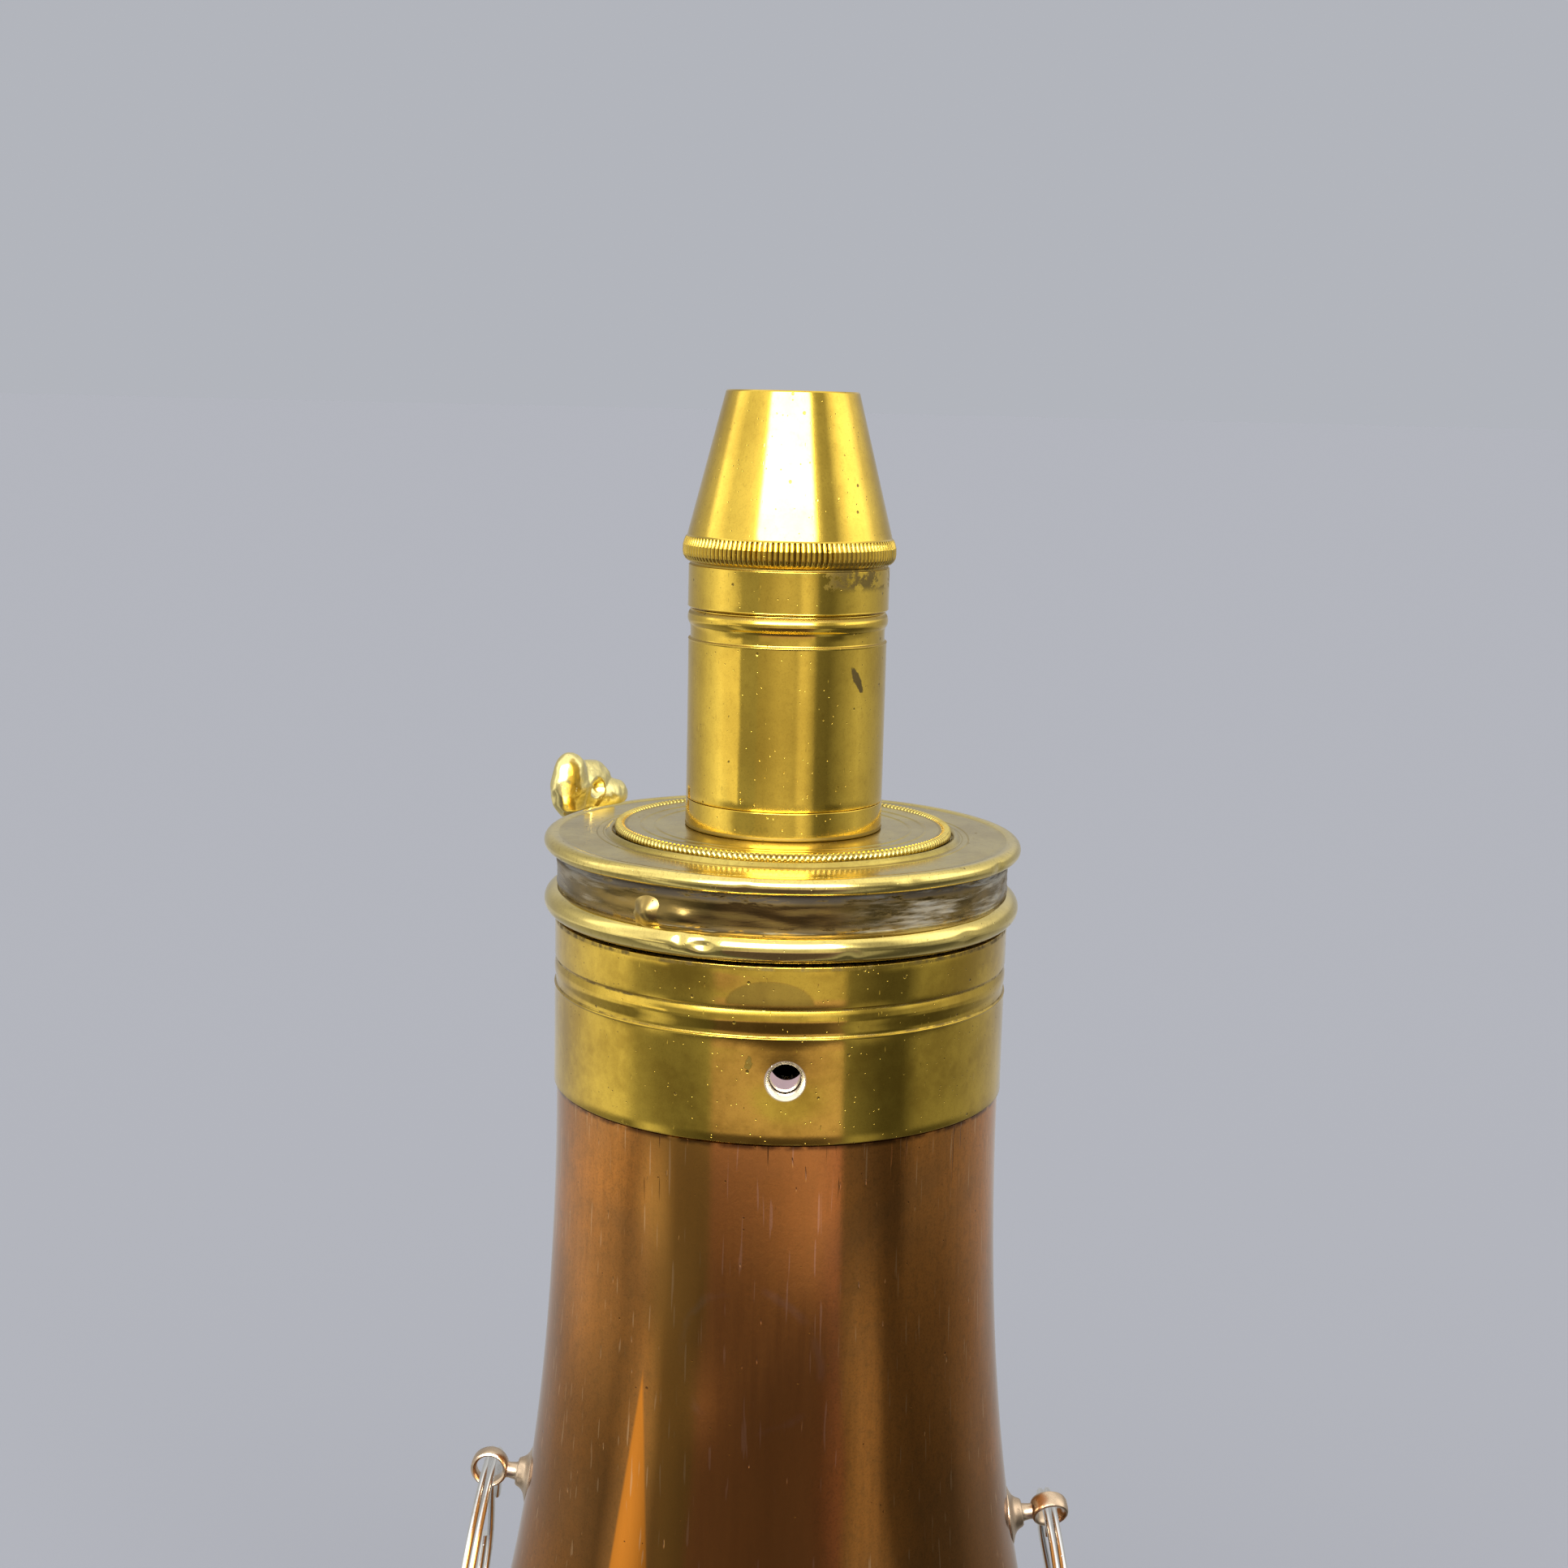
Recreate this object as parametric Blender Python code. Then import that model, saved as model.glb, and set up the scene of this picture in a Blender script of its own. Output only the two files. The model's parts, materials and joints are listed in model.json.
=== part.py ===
"""Copper powder flask with a brass cut-off head and an adjustable pouring nozzle.

The flask stands upright on its base plate. +Z is up, -Y is the front, the suspension lugs are on
the X axis, and the origin is the middle of the base. Sizes below are in millimetres; MM turns them
into Blender's metres.
"""

import math

import bmesh
import bpy
from mathutils import Matrix, Vector

MM = 0.001
GAP = 0.3  # clearance between pieces that touch

# Copper body
BODY_HEIGHT = 140.0  # base to the lower edge of the collar
SHEET = 0.8
BASE_PLATE = 1.2
BASE_ROLL_HEIGHT = 28.0  # height of the widest level, where the rounded lower edge ends
BASE_HALF_WIDTH = 28.8
BASE_HALF_DEPTH = 15.0
BELLY_HALF_WIDTH = 40.3
BELLY_HALF_DEPTH = 24.5
NECK_SIDE_RADIUS = 18.87
NECK_RADIUS = 17.9  # the stepped-in neck that the collar covers
NECK_TOP = BODY_HEIGHT + 12.0

# Brass head, levels above the lower edge of the collar
COLLAR_RADIUS = 19.0
COLLAR_WALL = 0.8
COLLAR_TOP = 14.05
MOULDING_BOTTOM = 8.3  # a soft hollow, a raised band and another hollow run round the collar
MOULDING_TOP = 11.1
MOULDING_DEPTH = 0.25
RIM_RADIUS = 20.1  # outside of both rolled rims
LOWER_BEAD_RADIUS = 1.15
LOWER_BEAD_Z = 15.5
UPPER_BEAD_RADIUS = 0.7
UPPER_BEAD_Z = 20.65
LOWER_PLATE_TOP = 16.2
TOP_PLATE_UNDER = 20.0
TOP_PLATE_TOP = 21.3
PLATE_HOLE_RADIUS = 5.5
RIDGE_RADIUS = 14.6  # the ridge on the top plate round the milled disc
RIDGE_HEIGHT = 0.35
WAIST_RADIUS = 19.0
WAIST_WALL = 1.2
WAIST_HOLLOW = 0.25
THROAT_RADIUS = 3.6
DISC_RADIUS = 14.2
DISC_TOP = 22.15
SCREW_HOLE_Z = 5.2
SCREW_AZIMUTHS = (272.0, 32.0, 152.0)  # the first hole is empty
SCREW_HOLE_RADIUS = 1.5
SCREW_HEAD_RADIUS = 2.3
SCREW_HEAD_HEIGHT = 0.95
SCREW_SHANK_RADIUS = 1.1
SCREW_LENGTH = 3.7

# Cut-off
PIVOT_AZIMUTH = 322.0
PIVOT_R = 13.5
ARM_AZIMUTH = PIVOT_AZIMUTH - 180.0
SWING = 36.0
SLOT_SPARE = 9.0  # degrees that the waist's slot is open beyond the arm at either end of its swing
PIVOT_HOLE_RADIUS = 1.4
PIVOT_SHANK_RADIUS = 1.1
PIVOT_HEAD_RADIUS = 2.2
PIVOT_HEAD_HEIGHT = 0.9
GATE_BOTTOM = 16.5
GATE_TOP = 17.6
GATE_BOSS_RADIUS = 2.8
GATE_COVER_RADIUS = 4.5
GATE_TAIL_RADIUS = 2.2
ARM_BOTTOM = 17.9
ARM_TOP = 18.9
ARM_HALF_WIDTH = 1.6
ARM_INNER_R = 5.7
ARM_OUTER_R = 21.6
UPRIGHT_THICKNESS = 1.0
UPRIGHT_TOP = 22.6
RIVET_REACHES = (7.4, 10.4)
RIVET_RADIUS = 0.5
RIVET_HOLE_RADIUS = 0.8
STOP_AZIMUTH = 237.0
STOP_Z = 17.4
STOP_HEAD_RADIUS = 1.4
SPRING_AZIMUTH = 40.0
WAIST_HOLE_RADIUS = 0.65

# Nozzle, levels above the lower edge of the collar
FOOT_BOTTOM = 22.45
FOOT_TOP = 24.1
BARREL_TOP = 39.8
BARREL_RADIUS = 8.25
BARREL_BORE = 7.2
TUBE_RADIUS = 6.9
TUBE_BORE = 6.2
TUBE_BOTTOM = 26.6
TUBE_TOP = 47.0
FOOT_BORE = 4.4
FOOT_NECK_RADIUS = 5.2
FOOT_SPIGOT_RADIUS = 6.9
FOOT_SPIGOT_BORE = 6.3
FOOT_SPIGOT_HEIGHT = 2.1
BARREL_BAND_RADIUS = 8.4
BARREL_BAND_BOTTOM = 38.4
BARREL_BAND_TOP = 39.2
BARREL_GROOVE_Z = 37.7
CONE_BOTTOM = 40.1
CONE_SKIRT_RADIUS = 8.4
CONE_SKIRT_BORE = 7.25
CONE_SHOULDER_Z = 46.0
MILLED_BEAD_Z = 44.85
MILLED_BEAD_RADIUS = 0.75
MILLED_BEAD_CENTRE_R = 8.1
CONE_TOP = 57.8
TIP_RADIUS = 5.5
TIP_BORE = 4.8
CHARGE_TRAVEL = 9.0
GUIDE_PIN_Z = 37.6
GUIDE_PIN_RADIUS = 0.5
GUIDE_PIN_LENGTH = 1.75
GUIDE_SLOT_HALF_WIDTH = 0.9

# Suspension lugs and rings
LEFT_LUG_HEIGHT = 103.0
RIGHT_LUG_HEIGHT = 100.2
LUG_RADIUS = 2.5
LUG_BOSS_RADIUS = 1.5
LUG_BOSS_HEIGHT = 1.15
LUG_BORE = 0.85
EYE_REACH = 3.25  # from the lug's seat to the middle of the eye
EYE_RADIUS = 1.42  # middle of the eye's band
EYE_BAND = 0.22  # half the band's thickness
EYE_HALF_WIDTH = 0.8
SHANK_RADIUS = 0.6
SHANK_HEAD_RADIUS = 1.15
RIGHT_EYE_TURN = 30.0
RING_RADIUS = 12.25
RING_WIRE = 0.75
RING_LEAN = 7.5

LARGE_STEPS = 40
SMALL_STEPS = 32
TINY_STEPS = 12


# ---------------------------------------------------------------- helpers


def clear_scene():
    for old in list(bpy.data.objects):
        bpy.data.objects.remove(old, do_unlink=True)


def metal(name, colour, roughness):
    made = bpy.data.materials.new(name)
    made.use_nodes = True
    shader = made.node_tree.nodes["Principled BSDF"]
    shader.inputs["Base Color"].default_value = (*colour, 1.0)
    shader.inputs["Roughness"].default_value = roughness
    shader.inputs["Metallic"].default_value = 1.0
    return made


def polar(radius, azimuth, z=0.0):
    angle = math.radians(azimuth)
    return Vector((radius * math.cos(angle), radius * math.sin(angle), z))


def add_mesh(name, mesh, finish, location=(0, 0, 0), turn=None):
    """A new object in the scene. location is in millimetres and turn is a rotation matrix."""
    made = bpy.data.objects.new(name, mesh)
    if finish:
        mesh.materials.append(finish)
    place = turn.to_4x4() if turn else Matrix.Identity(4)
    place.translation = Vector(location) * MM
    made.matrix_world = place
    bpy.context.scene.collection.objects.link(made)
    return made


def from_bmesh(name, shape, finish, location=(0, 0, 0), turn=None):
    """Recalculates the normals of a bmesh drawn in millimetres and makes it an object."""
    bmesh.ops.recalc_face_normals(shape, faces=shape.faces)
    bmesh.ops.scale(shape, vec=(MM, MM, MM), verts=shape.verts)
    mesh = bpy.data.meshes.new(name)
    shape.to_mesh(mesh)
    shape.free()
    return add_mesh(name, mesh, finish, location, turn)


def arc(centre_r, centre_z, radius, start, end, count):
    """Points (r, z) along an arc, angles in degrees from +r towards +z."""
    angles = [math.radians(start + (end - start) * i / (count - 1)) for i in range(count)]
    return [(centre_r + radius * math.cos(a), centre_z + radius * math.sin(a)) for a in angles]


def turned(name, profile, finish, steps, location=(0, 0, 0), turn=None, hollow=True):
    """Turns a profile of (r, z) points about Z: down the outside and, on a hollow piece, up inside."""
    points = [(r * MM, 0.0, z * MM) for r, z in profile]
    edges = [(i, i + 1) for i in range(len(points) - 1)]
    if hollow:
        edges.append((len(points) - 1, 0))
    mesh = bpy.data.meshes.new(name)
    mesh.from_pydata(points, edges, [])
    made = add_mesh(name, mesh, finish, location, turn)
    screw = made.modifiers.new("Turn", "SCREW")
    screw.angle = 2 * math.pi
    screw.steps = steps
    screw.render_steps = steps
    screw.use_merge_vertices = True
    screw.merge_threshold = 1e-5
    return made


def along(direction):
    """The rotation that takes +Z to a direction."""
    return Vector(direction).to_track_quat("Z", "Y").to_matrix()


def rod_cutter(name, radius, length, centre, direction, steps=16):
    shape = bmesh.new()
    bmesh.ops.create_cone(shape, cap_ends=True, segments=steps, radius1=radius, radius2=radius, depth=length)
    return hide(from_bmesh(name, shape, None, centre, along(direction)))


def box_cutter(name, low, high, azimuth=0.0):
    shape = bmesh.new()
    bmesh.ops.create_cube(shape, size=1.0)
    size = Vector(high) - Vector(low)
    bmesh.ops.scale(shape, vec=size, verts=shape.verts)
    bmesh.ops.translate(shape, vec=(Vector(high) + Vector(low)) / 2, verts=shape.verts)
    return hide(from_bmesh(name, shape, None, turn=Matrix.Rotation(math.radians(azimuth), 3, "Z")))


def hide(cutter):
    cutter.hide_render = True
    cutter.display_type = "WIRE"
    return cutter


def boolean(target, other, operation="DIFFERENCE"):
    step = target.modifiers.new(other.name, "BOOLEAN")
    step.operation = operation
    step.solver = "EXACT"
    step.object = other


def head(z):
    """World height in millimetres of a level on the head."""
    return BODY_HEIGHT + z


# ---------------------------------------------------------------- copper body


def bezier(a, b, c, d, t):
    s = 1 - t
    return a * s**3 + 3 * b * s * s * t + 3 * c * s * t * t + d * t**3


def flank_point(t):
    """(z, half width, half depth) a share t of the way up from the widest level to the shoulder."""
    shoulder = BODY_HEIGHT - GAP
    return (
        bezier(BASE_ROLL_HEIGHT, 64.0, 70.0, shoulder, t),
        bezier(BELLY_HALF_WIDTH, BELLY_HALF_WIDTH, 18.3, NECK_SIDE_RADIUS, t),
        bezier(BELLY_HALF_DEPTH, BELLY_HALF_DEPTH, 18.5, NECK_SIDE_RADIUS, t),
    )


def flank_at(height):
    """The flank's half width at a height, and how many radians it slopes from upright there."""
    low = 0.0
    high = 1.0
    for _ in range(40):
        middle = (low + high) / 2
        if flank_point(middle)[0] < height:
            low = middle
        else:
            high = middle
    below = flank_point(low - 0.001)
    above = flank_point(low + 0.001)
    return flank_point(low)[1], math.atan2(below[1] - above[1], above[0] - below[0])


def body_levels(roll_rows=7, side_rows=13):
    """(z, half width, half depth) from the base to the top of the neck, on the outer surface."""
    rows = []
    first = math.acos(1 - GAP / BASE_ROLL_HEIGHT)
    for i in range(roll_rows):
        angle = first + (math.pi / 2 - first) * i / roll_rows
        rows.append(
            (
                BASE_ROLL_HEIGHT * (1 - math.cos(angle)),
                BASE_HALF_WIDTH + (BELLY_HALF_WIDTH - BASE_HALF_WIDTH) * math.sin(angle),
                BASE_HALF_DEPTH + (BELLY_HALF_DEPTH - BASE_HALF_DEPTH) * math.sin(angle),
            )
        )
    rows += [flank_point(i / (side_rows - 1)) for i in range(side_rows)]
    rows.append((BODY_HEIGHT - GAP, NECK_RADIUS, NECK_RADIUS))
    rows.append((NECK_TOP, NECK_RADIUS, NECK_RADIUS))
    return rows


def body_shell(name, finish, front, columns=20):
    """Half of the body, from side seam to side seam, with the sheet's thickness inwards."""
    facing = -1.0 if front else 1.0
    shape = bmesh.new()
    rows = []
    for z, width, depth in body_levels():
        row = []
        for i in range(columns + 1):
            angle = math.pi * i / columns
            y = GAP / 2 + (depth - GAP / 2) * math.sin(angle)
            row.append(shape.verts.new((width * math.cos(angle), facing * y, z)))
        rows.append(row)
    for low, high in zip(rows, rows[1:]):
        for i in range(columns):
            corners = (low[i], low[i + 1], high[i + 1], high[i])
            shape.faces.new(corners if facing < 0 else corners[::-1])
    bmesh.ops.scale(shape, vec=(MM, MM, MM), verts=shape.verts)
    mesh = bpy.data.meshes.new(name)
    shape.to_mesh(mesh)
    shape.free()
    made = add_mesh(name, mesh, finish)
    wall = made.modifiers.new("Sheet", "SOLIDIFY")
    wall.thickness = SHEET * MM
    wall.offset = 1.0
    wall.use_even_offset = True
    return made


def make_body(copper):
    front = body_shell("body_front_shell", copper, True)
    back = body_shell("body_back_shell", copper, False)
    for number, azimuth in enumerate(SCREW_AZIMUTHS):
        reach = polar(NECK_RADIUS, azimuth, head(SCREW_HOLE_Z))
        hole = rod_cutter(f"neck_hole_{number}", SCREW_HOLE_RADIUS, 6.0, reach, polar(1, azimuth))
        boolean(front if number == 0 else back, hole)
    base_width, base_depth = body_levels()[0][1:]
    shape = bmesh.new()
    inset = 2 * GAP
    bmesh.ops.create_cone(shape, cap_ends=True, segments=LARGE_STEPS, radius1=1, radius2=1, depth=BASE_PLATE)
    bmesh.ops.scale(shape, vec=(base_width - inset, base_depth - inset, 1), verts=shape.verts)
    from_bmesh("base_plate", shape, copper, (0, 0, BASE_PLATE / 2))


# ---------------------------------------------------------------- brass head


def make_collar(brass):
    inner = COLLAR_RADIUS - COLLAR_WALL
    hollow = COLLAR_RADIUS - MOULDING_DEPTH
    profile = [
        (inner, COLLAR_TOP),
        (COLLAR_RADIUS, COLLAR_TOP),
        (COLLAR_RADIUS, MOULDING_TOP),
        (hollow, MOULDING_TOP - MOULDING_DEPTH),
        (COLLAR_RADIUS + 0.1, (MOULDING_BOTTOM + MOULDING_TOP) / 2),
        (hollow, MOULDING_BOTTOM + MOULDING_DEPTH),
        (COLLAR_RADIUS, MOULDING_BOTTOM),
        (COLLAR_RADIUS, 0.0),
        (inner, 0.0),
    ]
    collar = turned("collar", profile, brass, LARGE_STEPS, (0, 0, BODY_HEIGHT))
    for number, azimuth in enumerate(SCREW_AZIMUTHS):
        reach = polar(COLLAR_RADIUS, azimuth, head(SCREW_HOLE_Z))
        boolean(collar, rod_cutter(f"collar_hole_{number}", SCREW_HOLE_RADIUS, 6.0, reach, polar(1, azimuth)))
    screw = [
        (0.0, SCREW_HEAD_HEIGHT),
        (0.5 * SCREW_HEAD_RADIUS, 0.9 * SCREW_HEAD_HEIGHT),
        (0.87 * SCREW_HEAD_RADIUS, 0.5 * SCREW_HEAD_HEIGHT),
        (SCREW_HEAD_RADIUS, 0.0),
        (SCREW_SHANK_RADIUS, 0.0),
        (SCREW_SHANK_RADIUS, -SCREW_LENGTH),
        (0.0, -SCREW_LENGTH),
    ]
    names = ("collar_screw_back_right", "collar_screw_back_left")
    for name, azimuth in zip(names, SCREW_AZIMUTHS[1:]):
        seat = polar(COLLAR_RADIUS + GAP, azimuth, head(SCREW_HOLE_Z))
        turned(name, screw, brass, TINY_STEPS, seat, along(polar(1, azimuth)), hollow=False)


def make_plates(brass):
    bead_r = RIM_RADIUS - LOWER_BEAD_RADIUS
    lower = [(THROAT_RADIUS, LOWER_PLATE_TOP), (bead_r, LOWER_PLATE_TOP)]
    lower += arc(bead_r, LOWER_BEAD_Z, LOWER_BEAD_RADIUS, 90, -90, 6)
    lower += [(THROAT_RADIUS, LOWER_BEAD_Z - LOWER_BEAD_RADIUS)]
    turned("lower_plate", lower, brass, LARGE_STEPS, (0, 0, BODY_HEIGHT))

    bottom = LOWER_PLATE_TOP + GAP
    top = TOP_PLATE_UNDER - GAP
    inner = WAIST_RADIUS - WAIST_WALL
    hollow = WAIST_RADIUS - WAIST_HOLLOW
    middle = (bottom + top) / 2
    over_bead = LOWER_BEAD_Z + LOWER_BEAD_RADIUS + GAP
    waist = [(inner, top), (WAIST_RADIUS, top), (hollow, middle + 0.5), (hollow, over_bead)]
    waist += [(bead_r - GAP, over_bead), (bead_r - GAP, bottom), (inner, bottom)]
    ring = turned("waist_ring", waist, brass, LARGE_STEPS, (0, 0, BODY_HEIGHT))
    boolean(ring, slot_cutter())
    for number, azimuth in enumerate((STOP_AZIMUTH, SPRING_AZIMUTH)):
        reach = polar(WAIST_RADIUS, azimuth, head(STOP_Z))
        name = f"waist_hole_{number}"
        boolean(ring, rod_cutter(name, WAIST_HOLE_RADIUS, 6.0, reach, polar(1, azimuth), TINY_STEPS))

    bead_r = RIM_RADIUS - UPPER_BEAD_RADIUS
    plate = [(PLATE_HOLE_RADIUS, TOP_PLATE_TOP), (RIDGE_RADIUS - 0.25, TOP_PLATE_TOP)]
    plate += [(RIDGE_RADIUS, TOP_PLATE_TOP + RIDGE_HEIGHT), (RIDGE_RADIUS + 0.3, TOP_PLATE_TOP)]
    plate += [(bead_r - 0.5, TOP_PLATE_TOP)] + arc(bead_r, UPPER_BEAD_Z, UPPER_BEAD_RADIUS, 90, -68, 7)
    plate += [(bead_r - 0.1, TOP_PLATE_UNDER), (PLATE_HOLE_RADIUS, TOP_PLATE_UNDER)]
    turned("top_plate", plate, brass, LARGE_STEPS, (0, 0, BODY_HEIGHT))

    under = TOP_PLATE_TOP + GAP
    disc = [(PLATE_HOLE_RADIUS, DISC_TOP), (DISC_RADIUS - 0.2, DISC_TOP), (DISC_RADIUS, DISC_TOP - 0.2)]
    disc += [(DISC_RADIUS, under), (PLATE_HOLE_RADIUS, under)]
    turned("milled_disc", disc, brass, LARGE_STEPS, (0, 0, BODY_HEIGHT))


def arm_crossing(swing):
    """The azimuth where the arm's centre line passes through the waist after a swing in degrees."""
    pivot = polar(PIVOT_R, PIVOT_AZIMUTH)
    way = polar(1.0, ARM_AZIMUTH - swing)
    ahead = -pivot.dot(way)
    reach = ahead + math.sqrt(ahead**2 - PIVOT_R**2 + WAIST_RADIUS**2)
    spot = pivot + way * reach
    return math.degrees(math.atan2(spot.y, spot.x))


def slot_cutter():
    """A wedge-shaped slab that opens the waist ring where the lever's arm passes through it."""
    first = arm_crossing(0) + SLOT_SPARE
    last = arm_crossing(SWING) - SLOT_SPARE
    count = 9
    shape = bmesh.new()
    rows = []
    for z in (GATE_TOP, TOP_PLATE_UNDER):
        inner = []
        outer = []
        for i in range(count):
            azimuth = first + (last - first) * i / (count - 1)
            inner.append(shape.verts.new(polar(WAIST_RADIUS - 3.0, azimuth, z)))
            outer.append(shape.verts.new(polar(WAIST_RADIUS + 2.0, azimuth, z)))
        rows.append(inner + outer[::-1])
    low, high = rows
    shape.faces.new(low)
    shape.faces.new(high)
    for i in range(len(low)):
        following = (i + 1) % len(low)
        shape.faces.new((low[i], low[following], high[following], high[i]))
    bmesh.ops.triangulate(shape, faces=[f for f in shape.faces if len(f.verts) > 4])
    return hide(from_bmesh("lever_slot", shape, None, (0, 0, BODY_HEIGHT)))


# ---------------------------------------------------------------- cut-off


def hull_of_discs(name, discs, bottom, top, finish, origin):
    """A flat plate that wraps discs (centre vector, radius), with its origin on the pivot."""
    shape = bmesh.new()
    steps = 20
    for centre, radius in discs:
        for i in range(steps):
            spot = centre + polar(radius, 360 * i / steps) - origin
            shape.verts.new((spot.x, spot.y, bottom))
            shape.verts.new((spot.x, spot.y, top))
    found = bmesh.ops.convex_hull(shape, input=shape.verts)
    unused = [v for v in found["geom_interior"] if isinstance(v, bmesh.types.BMVert)]
    bmesh.ops.delete(shape, geom=unused, context="VERTS")
    return from_bmesh(name, shape, finish, origin + Vector((0, 0, BODY_HEIGHT)))


def make_cutoff(brass, steel):
    pivot = polar(PIVOT_R, PIVOT_AZIMUTH)
    up = Vector((0, 0, BODY_HEIGHT))
    discs = [(pivot, GATE_BOSS_RADIUS), (Vector((0, 0, 0)), GATE_COVER_RADIUS)]
    discs += [(polar(RIVET_REACHES[-1], ARM_AZIMUTH), GATE_TAIL_RADIUS)]
    gate = hull_of_discs("cutoff_gate", discs, GATE_BOTTOM, GATE_TOP, brass, pivot)
    spot = pivot + Vector((0, 0, head(GATE_TOP)))
    boolean(gate, rod_cutter("gate_hole", PIVOT_HOLE_RADIUS, 8.0, spot, (0, 0, 1)))

    outside = ARM_OUTER_R
    inside = ARM_OUTER_R - UPRIGHT_THICKNESS
    outline = [(ARM_INNER_R, ARM_BOTTOM), (outside - 0.7, ARM_BOTTOM), (outside, ARM_BOTTOM + 0.7)]
    outline += [(outside, UPRIGHT_TOP), (inside, UPRIGHT_TOP), (inside, ARM_TOP + 0.3)]
    outline += [(inside - 0.3, ARM_TOP), (ARM_INNER_R, ARM_TOP)]
    shape = bmesh.new()
    side = [shape.verts.new((PIVOT_R + u, -ARM_HALF_WIDTH, z)) for u, z in outline]
    face = shape.faces.new(side)
    grown = bmesh.ops.extrude_face_region(shape, geom=[face])
    moved = [v for v in grown["geom"] if isinstance(v, bmesh.types.BMVert)]
    bmesh.ops.translate(shape, vec=(0, 2 * ARM_HALF_WIDTH, 0), verts=moved)
    turn = Matrix.Rotation(math.radians(ARM_AZIMUTH), 3, "Z")
    arm = from_bmesh("lever_arm", shape, brass, pivot + up, turn)

    for number, reach in enumerate(RIVET_REACHES):
        spot = polar(reach, ARM_AZIMUTH, head(GATE_TOP))
        for plate in (gate, arm):
            name = f"{plate.name}_rivet_hole_{number}"
            boolean(plate, rod_cutter(name, RIVET_HOLE_RADIUS, 8.0, spot, (0, 0, 1), TINY_STEPS))
        top = ARM_TOP - 0.05
        low = GATE_BOTTOM + 0.1
        rivet = [(0.0, top), (RIVET_RADIUS, top), (RIVET_RADIUS, low), (0.0, low)]
        name = f"lever_rivet_{number + 1}"
        turned(name, rivet, steel, TINY_STEPS, polar(reach, ARM_AZIMUTH, BODY_HEIGHT), hollow=False)

    make_thumbpiece(brass)

    under = LOWER_BEAD_Z - LOWER_BEAD_RADIUS
    top = TOP_PLATE_UNDER - GAP
    screw = [(0.0, top), (PIVOT_SHANK_RADIUS, top), (PIVOT_SHANK_RADIUS, under - GAP)]
    screw += [(PIVOT_HEAD_RADIUS, under - GAP), (PIVOT_HEAD_RADIUS, under - GAP - PIVOT_HEAD_HEIGHT)]
    screw += [(0.0, under - GAP - PIVOT_HEAD_HEIGHT)]
    turned("pivot_screw", screw, steel, TINY_STEPS, pivot + up, hollow=False)
    plate = bpy.data.objects["lower_plate"]
    spot = pivot + Vector((0, 0, head(under)))
    boolean(plate, rod_cutter("pivot_hole", PIVOT_HOLE_RADIUS, 8.0, spot, (0, 0, 1)))


def ellipsoid(name, half_sizes, centre, azimuth, finish=None, fineness=16):
    """half_sizes are radial, tangential and upright at an azimuth."""
    shape = bmesh.new()
    bmesh.ops.create_uvsphere(shape, u_segments=fineness, v_segments=fineness // 2 + 2, radius=1.0)
    bmesh.ops.scale(shape, vec=half_sizes, verts=shape.verts)
    turn = Matrix.Rotation(math.radians(azimuth), 3, "Z")
    return from_bmesh(name, shape, finish, centre, turn)


def make_thumbpiece(brass):
    """A full lobe that stands over the rim, a saddle behind it, and a foot on the end of the arm."""
    lobe_centre = polar(20.4, ARM_AZIMUTH + 15.0, head(24.3))
    saddle_centre = polar(20.3, ARM_AZIMUTH + 8.0, head(24.5))
    heel_centre = polar(20.6, ARM_AZIMUTH + 1.5, head(24.1))
    thumb_centre = polar(17.8, ARM_AZIMUTH + 8.5, head(24.0))
    lobe = ellipsoid("thumbpiece", (1.35, 2.1, 2.75), lobe_centre, ARM_AZIMUTH + 9.0, brass)
    saddle = ellipsoid("thumb_saddle", (1.1, 3.3, 2.0), saddle_centre, ARM_AZIMUTH + 9.0)
    heel = ellipsoid("thumb_heel", (1.2, 2.0, 1.75), heel_centre, ARM_AZIMUTH)
    hollow = ellipsoid("thumb_hollow", (1.9, 1.9, 1.5), thumb_centre, ARM_AZIMUTH + 9.0)
    for more in (saddle, heel):
        boolean(lobe, hide(more), "UNION")
    boolean(lobe, hide(hollow))
    low = UPRIGHT_TOP + GAP
    reach = Vector((ARM_OUTER_R + 4.0, 4.0, head(low)))
    flat = box_cutter("thumb_seat", Vector((ARM_OUTER_R - 4.0, -2.6, head(low - 3.0))), reach, ARM_AZIMUTH)
    boolean(lobe, flat)


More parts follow.
